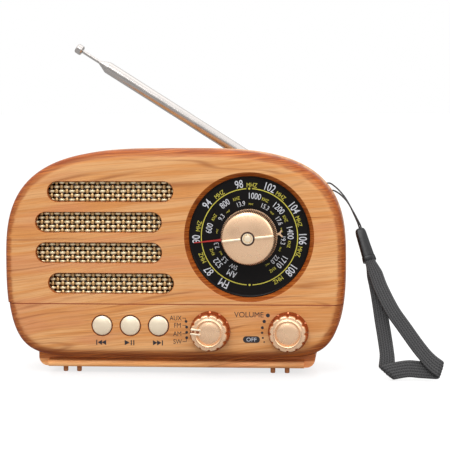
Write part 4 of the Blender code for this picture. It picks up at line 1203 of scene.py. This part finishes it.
def glyphs(text, squeeze, weight):
    """Text as a flat triangle mesh, 1 high and centred on the origin."""
    curve = bpy.data.curves.new("glyphs", "FONT")
    curve.body = text
    curve.offset = weight
    curve.resolution_u = 6
    holder = link(bpy.data.objects.new("glyphs", curve))
    mesh = evaluated_mesh(holder)
    bpy.data.objects.remove(holder, do_unlink=True)
    points = np.array([vertex.co[:2] for vertex in mesh.vertices])
    faces = [tuple(polygon.vertices) for polygon in mesh.polygons]
    low, high = points.min(0), points.max(0)
    points = (points - (low + high) / 2) / (high[1] - low[1])
    points[:, 0] *= squeeze
    return points, faces


def add_flat(bm, points, faces):
    """Add a thin flat shape given as world points on its face, with its thickness behind it."""
    near = [bm.verts.new(point) for point in points]
    far = [bm.verts.new(point + Vector((0, INK_THICKNESS, 0))) for point in points]
    edges = set()
    for face in faces:
        bm.faces.new([near[i] for i in face])
        bm.faces.new([far[i] for i in reversed(face)])
        edges.update(zip(face, face[1:] + face[:1]))
    for i, j in sorted(edges):
        if (j, i) not in edges:
            bm.faces.new((near[j], near[i], far[i], far[j]))


def print_line(bm, text, centre, height, y, squeeze):
    """Straight lettering on a face that looks towards -Y."""
    points, faces = glyphs(text, squeeze, 0.0)
    add_flat(bm, [Vector((centre[0] + u * height, y, centre[1] + v * height)) for u, v in points], faces)


def print_marks(bm, y, marks, radius, height, squeeze, weight=0.0):
    """Lettering bent round the dial's centre, with its feet inwards: marks holds (text, degrees)."""
    for text, degrees in marks:
        points, faces = glyphs(text, squeeze, weight)
        world = [around(DIAL_CENTRE, radius + v * height, math.radians(degrees) - u * height / radius, y)
                 for u, v in points]
        add_flat(bm, world, faces)


def add_polygon(bm, points):
    add_flat(bm, points, [tuple(range(len(points)))])


def add_disc(bm, centre, radius, y, segments=32):
    add_polygon(bm, [around(centre, radius, 2 * math.pi * i / segments, y) for i in range(segments)])


def stroke(bm, start, end, width, y):
    """A straight printed line between two (x, z) points."""
    a, b = upright((start, end), y)
    side = (b - a).normalized().cross(Vector((0, 1, 0))) * width / 2
    add_polygon(bm, [a - side, b - side, b + side, a + side])


FM_MARKS = (("FM", 241), ("87", 220), ("90", 182.5), ("94", 142), ("98", 101), ("102", 67),
            ("104", 32.5), ("106", 357.5), ("108", 321))
FM_UNITS = (204, 168, 125, 87, 52.5, 17.5, 343.5, 303.5)
AM_MARKS = (("AM", 244.5), ("522", 219.5), ("600", 168), ("800", 126.5), ("1000", 82),
            ("1200", 44), ("1400", 5.5), ("1710", 322))
AM_UNITS = (202, 151, 108.5, 66.5, 27, 349.5, 305)
SW_MARKS = (("SW", 242), ("5.5", 223), ("7.3", 195), ("9.3", 145), ("13.9", 104), ("15.3", 62),
            ("17.6", 28), ("19.3", 354), ("22.0", 318.5))
SW_UNITS = (210, 170, 130, 87, 46.5, 12, 338, 303)
FM_RADIUS, AM_RADIUS, SW_RADIUS = 0.0296, 0.0228, 0.0188
SCALES = (                       # marks, radius, height, squeeze, weight
    (FM_MARKS, FM_RADIUS, 0.0044, 0.74, 0.003),
    (AM_MARKS, AM_RADIUS, 0.0034, 0.78, 0.0),
    (SW_MARKS, SW_RADIUS, 0.0026, 0.80, 0.0),
)
UNITS = (                        # word, its angles, radius, height, squeeze
    ("MHZ", FM_UNITS, FM_RADIUS - 0.0009, 0.0024, 0.80),
    ("KHZ", AM_UNITS, AM_RADIUS - 0.0005, 0.0017, 0.78),
    ("MHZ", SW_UNITS, SW_RADIUS - 0.0006, 0.0009, 0.90),
)
RING_RADIUS, RING_HALF_WIDTH = 0.0267, 0.00025
RING_GAP = 3.5                   # degrees to either side of the ring's two dots
RING_DOT_RADIUS = 0.0006
RING_STEPS = 90


def ring_band(bm, first, last, y):
    """A stretch of the yellow ring, between two angles in degrees."""
    angles = [math.radians(first + (last - first) * i / RING_STEPS) for i in range(RING_STEPS + 1)]
    points = [around(DIAL_CENTRE, RING_RADIUS + RING_HALF_WIDTH, angle, y) for angle in angles]
    points += [around(DIAL_CENTRE, RING_RADIUS - RING_HALF_WIDTH, angle, y) for angle in reversed(angles)]
    end = len(points) - 1
    add_flat(bm, points, [(i, i + 1, end - 1 - i, end - i) for i in range(RING_STEPS)])


DIAL_BORE = 0.0033
DIAL_BEAD_RADIUS = DIAL_FLOOR_RADIUS - 0.0003
DIAL_BEAD = (                    # distance outside the bead's radius, height
    (-0.0010, 0.0), (-0.0009, 0.0), (-0.0005, 0.00035), (-0.0001, 0.00045), (0.0001, 0.00035),
    (0.0002, 0.0),
)


def make_dial():
    """Glossy dial plate with a raised rim, and its printed scales."""
    low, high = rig.box("dial_plate")
    face = low.y
    radius = (high.x - low.x) / 2
    profile = [(DIAL_BORE, face), *((DIAL_BEAD_RADIUS + out, face - lift) for out, lift in DIAL_BEAD),
               (radius, face), (radius, high.y), (DIAL_BORE, high.y)]
    black = plastic("dial_black", (0.006, 0.005, 0.005), 0.30, 0.002, 0.000004, 0.0, 0.12)
    plate = lathe(profile, (DIAL_CENTRE[0], 0.0, DIAL_CENTRE[1]), segments=192, closed=True)
    add_piece("dial_face", plate, black, "root", "dial", ["dial_plate"])

    y = face - INK_LIFT
    white, yellow = bmesh.new(), bmesh.new()
    for marks, *lettering in SCALES:
        print_marks(white, y, marks, *lettering)
    for word, angles, *lettering in UNITS:
        print_marks(yellow, y, [(word, degrees) for degrees in angles], *lettering)
    for first in (90 + RING_GAP, 270 + RING_GAP):
        ring_band(yellow, first, first + 180 - 2 * RING_GAP, y)
    for side in (1, -1):
        add_disc(yellow, (DIAL_CENTRE[0], DIAL_CENTRE[1] + side * RING_RADIUS), RING_DOT_RADIUS, y)
    add_piece("dial_scale_white", white, print_ink("ink_white", linear(206, 208, 214)), "root", "dial")
    add_piece("dial_scale_yellow", yellow, print_ink("ink_yellow", linear(196, 186, 66)), "root", "dial")


BAND_MARKS = (                   # label, its place, its dot's place
    ("AUX", (0.0011, 0.0323), (0.0069, 0.0305)),
    ("FM", (0.0021, 0.0283), (0.0072, 0.0273)),
    ("AM", (0.0019, 0.0236), (0.0072, 0.0244)),
    ("SW", (0.0021, 0.0192), (0.0072, 0.0214)),
)
BAND_DOT_RADIUS = 0.00078
LABEL_HEIGHT = 0.0026
LEADER_START_X = 0.0049
LEADER_WIDTH = 0.00028
LEADER_SHORTFALL = 0.0002        # it stops this far short of its dot's middle
LEADER_BEND = 0.0012             # a leader turns a corner where its dot is further off than this
VOLUME_LABEL = ((0.0418, 0.0345), 0.0030)
VOLUME_SCALE_RADIUS = 0.0145
VOLUME_DOTS = (                  # degrees, radius
    (141, 0.0011), (156.5, 0.00095), (171, 0.00083), (182, 0.00067), (193.5, 0.00055), (203, 0.00045),
)
BADGE_LEFT, BADGE_RIGHT = 0.0385, 0.0479
BADGE_Z, BADGE_HALF_HEIGHT = 0.02065, 0.00185
BADGE_LABEL_HEIGHT = 0.0021
ICON_Z = 0.0184
ICON_SHIFT = -0.0005
ICON_HALF_HEIGHT = 0.00145
ICON_LEFT = -0.0027
ICON_STEP = 0.0023
ICON_OVERLAP = 0.0002
ICON_BAR = 0.0006
SKIP_BAR = 0.0026
PLAY_TIP, PAUSE_BARS = 0.0001, (0.0010, 0.0024)


def print_icon(bm, middle, arrows, bars, way, y):
    """A transport mark: arrow heads as (tail, tip), and bars by their middles; way -1 mirrors it."""
    for tail, tip in arrows:
        corners = ((tail, -ICON_HALF_HEIGHT), (tip, 0.0), (tail, ICON_HALF_HEIGHT))
        add_polygon(bm, upright([(middle + way * u, ICON_Z + v) for u, v in corners], y))
    for bar in bars:
        x = middle + way * bar
        stroke(bm, (x, ICON_Z - ICON_HALF_HEIGHT), (x, ICON_Z + ICON_HALF_HEIGHT), ICON_BAR, y)


def print_icons(bm, y):
    """Transport marks under the keys: back, play or pause, and forward."""
    tails = (ICON_LEFT, ICON_LEFT + ICON_STEP)
    skip = ([(tail, tail + ICON_STEP + ICON_OVERLAP) for tail in tails], (SKIP_BAR,))
    play = ([(ICON_LEFT, PLAY_TIP)], PAUSE_BARS)
    for (_, x), (arrows, bars), way in zip(BUTTONS, (skip, play, skip), (-1, 1, 1)):
        print_icon(bm, x + ICON_SHIFT, arrows, bars, way, y)


def make_prints():
    """Labels, dots, leader lines, transport marks and the OFF badge on the control panel."""
    y = FRONT_Y - INK_LIFT
    ink = bmesh.new()
    for text, (label_x, label_z), (dot_x, dot_z) in BAND_MARKS:
        print_line(ink, text, (label_x, label_z), LABEL_HEIGHT, y, 0.86)
        add_disc(ink, (dot_x, dot_z), BAND_DOT_RADIUS, y)
        corner = dot_x - LEADER_SHORTFALL
        stroke(ink, (LEADER_START_X, label_z), (corner, label_z), LEADER_WIDTH, y)
        if abs(label_z - dot_z) > LEADER_BEND:
            stroke(ink, (corner, label_z), (corner, dot_z), LEADER_WIDTH, y - STROKE_LIFT)
    print_line(ink, "VOLUME", *VOLUME_LABEL, y, 0.98)
    for degrees, radius in VOLUME_DOTS:
        place = around(VOLUME_CENTRE, VOLUME_SCALE_RADIUS, math.radians(degrees), y)
        add_disc(ink, (place.x, place.z), radius, y)
    print_icons(ink, y)
    add_polygon(ink, upright(stadium(BADGE_LEFT, BADGE_RIGHT, BADGE_Z, BADGE_HALF_HEIGHT), y))
    add_piece("panel_print", ink, print_ink("ink_grey", linear(38, 33, 37)), "root", "case")
    light = bmesh.new()
    centre = ((BADGE_LEFT + BADGE_RIGHT) / 2, BADGE_Z)
    print_line(light, "OFF", centre, BADGE_LABEL_HEIGHT, y - INK_LIFT, 1.1)
    add_piece("badge_print", light, print_ink("ink_light", linear(196, 198, 206)), "root", "case")


# ---------------- knobs and keys
KNURLS = 96
KNURL_POINTS = 4
KNURL_START_RADIUS = 0.0139
RIDGE_TILT = math.radians(6.2)
LOBES = 12
LOBE_POINTS = 16
SHAFT_BORE = 0.0034


def knurl(angle):
    """Depth of the tuning knob's knurling, from 0 on a rib to 1 in a valley."""
    return 0.5 - 0.5 * math.cos(KNURLS * angle)


def notch(angle):
    """Depth of a small knob's notches: narrow, with round lobes between them."""
    return max(0.0, math.cos(LOBES * angle)) ** 2.2


def in_knurl_valley(centre, _):
    """Whether a face of the tuning knob lies between two ribs."""
    across, up = centre.x - DIAL_CENTRE[0], centre.z - DIAL_CENTRE[1]
    return math.cos(KNURLS * math.atan2(up, across)) < -0.3 and math.hypot(across, up) > KNURL_START_RADIUS


def cut_rings(profile, centre, face, count, cut):
    """Rings of a knob with a cut edge: profile holds (radius, depth of the cut, distance behind the face)."""
    angles = [2 * math.pi * i / count for i in range(count)]
    return [[around(centre, radius - depth * cut(angle), angle, face + along) for angle in angles]
            for radius, depth, along in profile]


def on_knob(centre, face, angle):
    """A frame on a knob's face, turned about the knob's axis."""
    return Matrix.Translation((centre[0], face, centre[1])) @ Matrix.Rotation(angle, 4, "Y")


def placed_block(low, high, bevel, steps, place):
    bm = block(low, high, bevel, steps)
    bmesh.ops.transform(bm, matrix=place, verts=bm.verts)
    return bm


RIDGE = ((0.0038, 0.0001, -0.0006), (0.0142, 0.0026, 0.0006))      # corners, from the knob's face
TUNING_TOP_RADIUS, TUNING_BASE_RADIUS = 0.0146, 0.0156
KNURL_DEPTH = 0.00070
HUB_HOLE_RADIUS = 0.0037
TUNING_CROWN = (                 # radius, distance behind the front
    (HUB_HOLE_RADIUS, 0.0026), (HUB_HOLE_RADIUS, 0.0009), (0.0039, 0.0007), (0.0060, 0.00080),
    (0.0085, 0.00105), (0.0105, 0.00137), (0.0122, 0.00175), (0.0134, 0.0021), (0.0140, 0.0024),
    (0.01435, 0.0028),
)
HUB_CAP = (                      # radius, distance behind the front
    (0.0003, 0.00010), (0.0012, 0.00015), (0.0018, 0.00032), (0.0021, 0.0007), (0.0022, 0.0010),
    (0.0023, 0.0007), (0.0025, 0.0005), (0.0029, 0.0005), (0.0031, 0.0008), (0.0031, 0.0018),
    (0.0004, 0.0018),
)


def make_tuning_knob(gold, cream, dark):
    """Knurled knob with a ridge across its face, and a stepped hub cap."""
    low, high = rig.box("tuning_knob")
    face, depth = low.y, high.y - low.y
    profile = [(radius, 0.0, along) for radius, along in TUNING_CROWN] + [
        (TUNING_TOP_RADIUS - 0.0001, 0.00060, 0.0031),
        (TUNING_TOP_RADIUS, KNURL_DEPTH, 0.0037),
        (TUNING_BASE_RADIUS - 0.0001, KNURL_DEPTH, depth - 0.0012),
        (TUNING_BASE_RADIUS, 0.0, depth - 0.0009),
        (TUNING_BASE_RADIUS, 0.0, depth),
        (HUB_HOLE_RADIUS, 0.0, depth),
    ]
    rings = cut_rings(profile, DIAL_CENTRE, face, KNURLS * KNURL_POINTS, knurl)
    knob = add_piece("knob_tuning", loft(rings, closed=True), gold, "tuning", "knobs", ["tuning_knob"])
    # painted shade in the valleys of the knurling
    mark_faces(knob, in_knurl_valley)

    for name, turn in (("right", 0.0), ("left", math.pi)):
        place = on_knob(DIAL_CENTRE, face, turn - RIDGE_TILT)
        ridge = placed_block(*RIDGE, 0.0004, 4, place)
        add_piece(f"knob_ridge_{name}", ridge, cream, "tuning", "knobs", [], 60)

    centre = (DIAL_CENTRE[0], face, DIAL_CENTRE[1])
    # A dark ring in the gap between the hub cap and the knob: painted shade
    cup = [(0.0033, 0.0020), (0.0033, 0.0006), *arc(0.00345, 0.0004, 0.00015, 180, 360), (0.0036, 0.0020)]
    add_piece("knob_hub_ring", lathe(cup, centre, closed=True), dark, "tuning", "hub", ["tuning_hub_cap"])
    add_piece("knob_hub_cap", lathe(HUB_CAP, centre), cream, "tuning", "hub", ["tuning_hub_cap"])


NEEDLE_TIP = ((-0.0310, 0.0002), (-0.0180, 0.0005), (-0.0140, 0.0009))     # half outlines, from the left
NEEDLE_TAIL = ((0.0140, 0.0006), (0.0166, 0.0006), (0.0180, 0.0021), (0.0185, 0.0015))
TAIL_CLEFT = (0.0174, 0.0)
NEEDLE_HALF_THICKNESS = 0.0002


def make_needle(red, gold):
    """The red needle on the left of the knob and its forked tail on the right."""
    low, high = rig.box("dial_pointer")
    y = (low.y + high.y) / 2
    turn = Matrix.Rotation(RIDGE_TILT, 2)
    for name, half, middle, finish in (("needle_tip", NEEDLE_TIP, (), red),
                                       ("needle_tail", NEEDLE_TAIL, (TAIL_CLEFT,), gold)):
        lower = [(u, -v) for u, v in half]
        placed = [turn @ Vector(point) for point in (*lower, *middle, *reversed(half))]
        rings = [[(DIAL_CENTRE[0] + p.x, y + out, DIAL_CENTRE[1] + p.y) for p in placed]
                 for out in (-NEEDLE_HALF_THICKNESS, NEEDLE_HALF_THICKNESS)]
        add_piece(name, loft(rings), finish, "tuning", "knobs", ["dial_pointer"])


SMALL_KNOB_DOME = (              # radius, distance behind the front: dome, raised ring and groove
    (0.0004, 0.00035), (0.0020, 0.00040), (0.0040, 0.00062), (0.0055, 0.00100), (0.0063, 0.00140),
    (0.0066, 0.00145), (0.0068, 0.00060), (0.0070, 0.00018), (0.0073, 0.0), (0.0076, 0.00018),
    (0.0078, 0.00060), (0.0081, 0.00075),
)
SMALL_KNOB_LOBES = (             # radius, depth of the notches, distance behind the front
    (0.0092, 0.00030, 0.00070), (0.0096, 0.00060, 0.00085), (0.0099, 0.00078, 0.00130),
    (0.0100, 0.00080, 0.00190), (0.0101, 0.00080, 0.0026), (SHAFT_BORE, 0.0, 0.0026),
)


def make_small_knob(name, centre, gold, dark_gold):
    """Scalloped knob: satin lobed crown with a raised ring and a dome, on a polished skirt coloured darker and redder
    as painted reflection of the wood.
    """
    low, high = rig.box(f"{name}_knob")
    height = high.y - low.y
    crown = [(radius, 0.0, along) for radius, along in SMALL_KNOB_DOME] + [*SMALL_KNOB_LOBES]
    skirt = (
        (SHAFT_BORE, 0.0, 0.0026), (0.0099, 0.0006, 0.0026), (0.0102, 0.0006, 0.0032),
        (0.0110, 0.0006, height - 0.0012), (0.0112, 0.0001, height - 0.0008), (0.0112, 0.0, height),
        (SHAFT_BORE, 0.0, height),
    )
    for part, profile, closed, finish in (("crown", crown, False, gold), ("skirt", skirt, True, dark_gold)):
        rings = cut_rings(profile, centre, low.y, LOBES * LOBE_POINTS, notch)
        add_piece(f"knob_{name}_{part}", loft(rings, closed), finish, name, "knobs", [f"{name}_knob"], 40)


BAND_MARKER_TURN = math.radians(-174)
BAND_RIDGE = ((0.0044, 0.0, -0.0005), (0.0100, 0.0018, 0.0005))
BAND_SLOT = ((0.0054, 0.0007, -0.0007), (0.0092, 0.0016, 0.0007))
BAND_RIDGE_OFFSET = 0.00125


def make_band_marker(gold, dark):
    """Two raised ridges with a slot between them painted dark as painted shade, at the knob's left."""
    place = on_knob(BAND_CENTRE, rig.box("band_knob")[0].y, BAND_MARKER_TURN)
    for number, side in enumerate((1, -1), 1):
        beside = place @ Matrix.Translation((0, 0, side * BAND_RIDGE_OFFSET))
        bar = placed_block(*BAND_RIDGE, 0.0003, 4, beside)
        add_piece(f"knob_band_ridge_{number}", bar, gold, "band", "knobs", ["band_knob"], 60)
    slot = placed_block(*BAND_SLOT, 0.0001, 1, place)
    add_piece("knob_band_slot", slot, dark, "band", "knobs", ["band_knob"])


KEY_RADIUS = 0.0054
KEY_DOME = 0.0012
KEY_DOME_SHARES = (0.02, 0.2, 0.4, 0.55, 0.7, 0.8, 0.88, 0.94)
KEY_BRIM_RADIUS, KEY_BRIM_FROM, KEY_BRIM_TO = 0.0068, 0.0049, 0.0059    # it keeps the key in
KEY_STEM_RADIUS = 0.0018
KEY_RING = (0.0055, 0.00575)
KEY_RING_DEPTHS = (0.0004, 0.0028)


def make_keys(pearl, dark):
    """Three domed keys with a brim behind the panel, each in a dark ring that is painted shade in the gap around it.
    """
    dome = [(KEY_RADIUS * share, KEY_DOME * share ** 2) for share in KEY_DOME_SHARES]
    inner, outer = KEY_RING
    shallow, deep = (FRONT_Y + depth for depth in KEY_RING_DEPTHS)
    for name, x in BUTTONS:
        low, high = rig.box(f"button_{name}")
        side = [(KEY_RADIUS - 0.00008, 0.00135), (KEY_RADIUS, 0.0018), (KEY_RADIUS, KEY_BRIM_FROM),
                (KEY_BRIM_RADIUS, KEY_BRIM_FROM), (KEY_BRIM_RADIUS, KEY_BRIM_TO),
                (KEY_STEM_RADIUS, KEY_BRIM_TO), (KEY_STEM_RADIUS, high.y - low.y)]
        cap = lathe(dome + side, (x, low.y, BUTTON_Z), segments=80)
        add_piece(f"key_{name}_cap", cap, pearl, f"key_{name}", "keys", [f"button_{name}"], 40)
        # the dark ring fills the gap around the key: painted shade
        ring = lathe([(inner, deep), (inner, shallow), (outer, shallow), (outer, deep)], (x, 0.0, BUTTON_Z),
                     segments=80, closed=True)
        add_piece(f"key_{name}_ring", ring, dark, "root", "case")


# ---------------- aerial
AERIAL_ANGLE = math.radians(32.5)
AERIAL_DIRECTION = Vector((-math.cos(AERIAL_ANGLE), 0.0, math.sin(AERIAL_ANGLE)))
TUBE_RADII = (0.00350, 0.00300, 0.00250, 0.00200, 0.00155)
TUBE_WALL = 0.00025
TUBE_CLEARANCE = 0.00012
TUBE_START, TUBE_END, TUBE_STEP = 0.0085, 0.1196, 0.0011
MOUTH_LENGTH = 0.0014
ROD_RADIUS = 0.0010
ROD_HOLE_RADIUS = 0.0012
TIP_RADIUS, TIP_ROUNDING = 0.0029, 0.0005
TIP_LENGTH = 0.0040
TIP_END = 0.1405


def make_aerial(chrome):
    """Nested tubes with rolled mouths, and the rod with its cap."""
    for number, radius in enumerate(TUBE_RADII, 1):
        end = TUBE_END + TUBE_STEP * (number - 1)
        start = TUBE_START if number == 1 else TUBE_START + 0.0010 + 0.0015 * (number - 1)
        hole = TUBE_RADII[number] + TUBE_CLEARANCE if number < len(TUBE_RADII) else ROD_HOLE_RADIUS
        mouth = []
        for degrees in range(0, 91, 18):
            angle = math.radians(degrees)
            back = MOUTH_LENGTH * (1 - math.sin(angle))
            mouth.append((hole + (radius - hole) * math.cos(angle), end - back))
        bore = radius - TUBE_WALL
        tube = [(radius, start), *mouth, (hole, end - 0.0002), (bore, end - MOUTH_LENGTH - 0.0002)]
        if number == 1:
            neck = [(0.0006, 0.0042), (0.0024, 0.0050), (0.0024, 0.0078), (0.0030, 0.0082)]
            bm = lathe([*neck, *tube, (bore, start + 0.0010)], AERIAL_PIVOT, AERIAL_DIRECTION, 64)
        else:
            bm = lathe([*tube, (bore, start)], AERIAL_PIVOT, AERIAL_DIRECTION, 64, True)
        add_piece(f"aerial_stage_{number}_tube", bm, chrome, f"aerial_stage_{number}", "aerial",
                  [f"aerial_tube_{number}"])
    cap = TIP_END - TIP_LENGTH
    edge = TIP_RADIUS - TIP_ROUNDING
    rod = [(0.0002, 0.0250), (ROD_RADIUS, 0.0252), (ROD_RADIUS, cap), (edge, cap),
           (TIP_RADIUS, cap + TIP_ROUNDING), (TIP_RADIUS, TIP_END - 0.0007), (edge, TIP_END - 0.0001),
           (0.0004, TIP_END)]
    bm = lathe(rod, AERIAL_PIVOT, AERIAL_DIRECTION, 48)
    add_piece("aerial_rod", bm, chrome, "aerial_stage_6", "aerial", ["aerial_tip"])


# ---------------- screws and carried-over nodes
SCREW_RADIUS, SCREW_HEAD_RADIUS = 0.0014, 0.0025
CROSS_ARMS = ((0.0014, 0.00025), (0.00025, 0.0014))      # half sizes across and up
CROSS_FLOOR, CROSS_TOP = 0.0010, 0.0030


def make_screw_heads(steel):
    """Case screws with a cross recess."""
    profile = [
        (0.0006, -0.0300), (SCREW_RADIUS, -0.0280), (SCREW_RADIUS, GAP), (SCREW_HEAD_RADIUS - 0.0002, GAP),
        (SCREW_HEAD_RADIUS, 0.0006), (SCREW_HEAD_RADIUS, 0.0010), *arc(0.0014, 0.0008, 0.0011, 10, 80, 5),
        (0.0002, 0.0019),
    ]
    floor_y, top_y = SCREW_SEAT_Y + CROSS_FLOOR, SCREW_SEAT_Y + CROSS_TOP
    for number, (x, z) in enumerate(SCREW_PLACES, 1):
        bm = lathe(profile, (x, SCREW_SEAT_Y, z), segments=48)
        screw = add_piece(f"screw_{number}", bm, steel, "root", "screws", [f"case_screw_{number}"])
        carve(screw, [block((x - half_x, floor_y, z - half_z), (x + half_x, top_y, z + half_z))
                      for half_x, half_z in CROSS_ARMS])
        smooth(screw)


def dress_nodes(finishes):
    """Give each carried-over CAD node a finish."""
    for finish, names in finishes:
        for name in names:
            node = frame["nodes"][name]
            node.data.materials.clear()
            node.data.materials.append(finish)


# ---------------- stage
FLOOR_RADIUS = 12.0
FLOOR_ALBEDO = 0.24
FLOOR_GLOW = 0.85
FLOOR_GLOSS = 0.12
FLOOR_ROUGHNESS = 0.10
FLOOR_BOUNCE = 0.38              # the floor's albedo for light that goes on to the radio
SKY_FROM, SKY_TO = -0.1, 0.9      # the direction's height where the sky's glow starts and stops rising
SKY_LOW, SKY_HIGH = 0.19, 1.75
LIGHTS = (                       # name, place, target, size, watts
    ("key", (-0.15, -0.75, 0.90), (0.0, 0.0, 0.07), (0.5, 0.5), 4.0),
    ("fill", (0.75, -0.60, 0.50), (0.0, 0.0, 0.07), (0.5, 0.7), 1.6),
    ("top", (0.0, 0.15, 1.1), (0.0, 0.0, 0.05), (0.9, 0.6), 1.0),
)


def make_lights():
    for name, place, target, size, watts in LIGHTS:
        data = bpy.data.lights.new(name, "AREA")
        data.shape = "RECTANGLE"
        data.size, data.size_y = size
        data.energy = watts
        light = link(bpy.data.objects.new(name, data))
        light.location = place
        light.rotation_euler = (Vector(target) - Vector(place)).to_track_quat("-Z", "Y").to_euler()


def make_world():
    """Bright overhead and dimmer towards the horizon, and plain white behind the radio."""
    world = bpy.data.worlds.new("studio")
    bpy.context.scene.world = world
    world.use_nodes = True
    sky = Nodes(world.node_tree)
    height = sky.add("SeparateXYZ", {0: sky.add("TexCoord", {}, "Generated")}, "Z")
    levels = {"From Min": SKY_FROM, "From Max": SKY_TO, "To Min": SKY_LOW, "To Max": SKY_HIGH}
    glow = sky.add("MapRange", {"Value": height, **levels}, "Result")
    seen = sky.add("LightPath", {}, "Is Camera Ray")
    background = sky.nodes["Background"]
    sky.feed(background.inputs["Color"], (1.0, 1.0, 1.0))
    sky.feed(background.inputs["Strength"], sky.add("Mix", {0: seen, 2: glow, 3: 1.0}))


def make_floor():
    """A wide white floor with a faint gloss, which lights the radio less than its look suggests."""
    bm = bmesh.new()
    bmesh.ops.create_circle(bm, cap_ends=True, segments=96, radius=FLOOR_RADIUS)
    white = bpy.data.materials.new("floor_white")
    white.use_nodes = True
    f = Nodes(white.node_tree)
    f.nodes.clear()
    matte = f.add("BsdfDiffuse", {"Color": (FLOOR_ALBEDO,) * 3})
    lit = f.add("AddShader", {0: matte, 1: f.add("Emission", {"Strength": FLOOR_GLOW})})
    gloss = f.add("BsdfGlossy", {"Roughness": FLOOR_ROUGHNESS})
    seen = f.add("MixShader", {0: FLOOR_GLOSS, 1: lit, 2: gloss})
    bounce = f.add("BsdfDiffuse", {"Color": (FLOOR_BOUNCE,) * 3})
    pick = f.add("MixShader", {0: f.add("LightPath", {}, "Is Camera Ray"), 1: bounce, 2: seen})
    f.add("OutputMaterial", {"Surface": pick})
    floor = add_piece("floor", bm, white, body=None)
    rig.stage(floor)


# ---------------- assembly
def dress_inside(chrome, steel):
    """Finishes of the CAD nodes that stay, most of them inside."""
    black = plastic("component_black", (0.015, 0.015, 0.016), 0.45)
    copper = metal("coil_copper", (0.70, 0.30, 0.14), 0.35, 1.0, (0.0003, 0.004, 0.004), 0.00004)
    dress_nodes((
        (chrome, ["aerial_elbow"]),
        (steel, ["speaker_basket", "speaker_magnet", "tuning_shaft", "band_shaft", "volume_shaft",
                 "usb_socket", "card_socket"]),
        (plastic("cone_paper", (0.030, 0.029, 0.028), 0.9, 0.0006, 0.00006), ["speaker_cone"]),
        (plastic("surround_rubber", (0.02, 0.02, 0.02), 0.7), ["speaker_surround"]),
        (black, ["tuning_capacitor", "band_switch", "volume_control", "switch_previous", "switch_play",
                 "switch_next", "aux_socket", "dc_socket", "aerial_mount"]),
        (circuit_board("board_green"), ["main_board", "port_board"]),
        (plastic("ferrite_grey", (0.05, 0.05, 0.055), 0.6), ["ferrite_rod"]),
        (copper, ["aerial_coil"]),
        (plastic("battery_wrap", (0.10, 0.20, 0.34), 0.4), ["battery"]),
        (wood("door_wood", shade=0.92), ["battery_door"]),
    ))


def main():
    make_camera()
    make_strap()
    make_world()
    make_floor()
    make_lights()

    case = wood("case_wood", FRONT_Y)
    make_front(case)
    # the tongue's brown is painted shade of the seam
    make_tongue(plastic("seam_painted_shade", linear(150, 70, 28), 0.5))
    make_panel(case)
    make_back(wood("back_wood", shade=0.95))
    # The base wood is painted 1.55 times lighter: painted light against the shade under the casing
    make_base(wood("base_wood", shade=1.55, cove_shade_z=LIP_TOP_Z))
    # The feet are painted lighter than their tan-brown: painted light against the shade under the base
    make_feet(plastic("foot_rubber", linear(216, 140, 88), 0.5))
    make_weave()
    make_dial()
    make_prints()

    gold = metal("rose_gold_satin", linear(250, 208, 170), 0.26, 0.82)
    # The polished skirts are a darker, redder copy of the rose gold: painted reflection of the wood; it also paints
    # shade into the band marker's slot
    polished = metal("rose_gold_polished_painted_reflection_and_shade", linear(176, 104, 70), 0.24)
    pearl = metal("pearl_champagne", linear(255, 234, 206), 0.34, 0.6, depth=0.000002)
    # dark pieces in the gaps around the keys and the hub cap: painted shade
    dark = plastic("gap_painted_shade", linear(70, 34, 24), 0.4)
    make_tuning_knob(gold, pearl, dark)
    make_needle(plastic("needle_red", linear(176, 34, 30), 0.4), gold)
    for name, centre in (("band", BAND_CENTRE), ("volume", VOLUME_CENTRE)):
        make_small_knob(name, centre, gold, polished)
    make_band_marker(pearl, polished)
    make_keys(pearl, dark)
    chrome = metal("aerial_chrome", (0.50, 0.47, 0.45), 0.26, 1.0, (0.004, 0.0002, 0.0002), 0.000002)
    make_aerial(chrome)
    steel = metal("screw_steel", (0.50, 0.50, 0.51), 0.32)
    make_screw_heads(steel)
    dress_inside(chrome, steel)
    bpy.context.scene.view_settings.view_transform = "Standard"
    bpy.context.scene.view_settings.look = "None"

    with open("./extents.json", "w") as report:
        json.dump({"cad": CAD_BOX, "visual": [list(corner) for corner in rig.bounds()]}, report)


main()
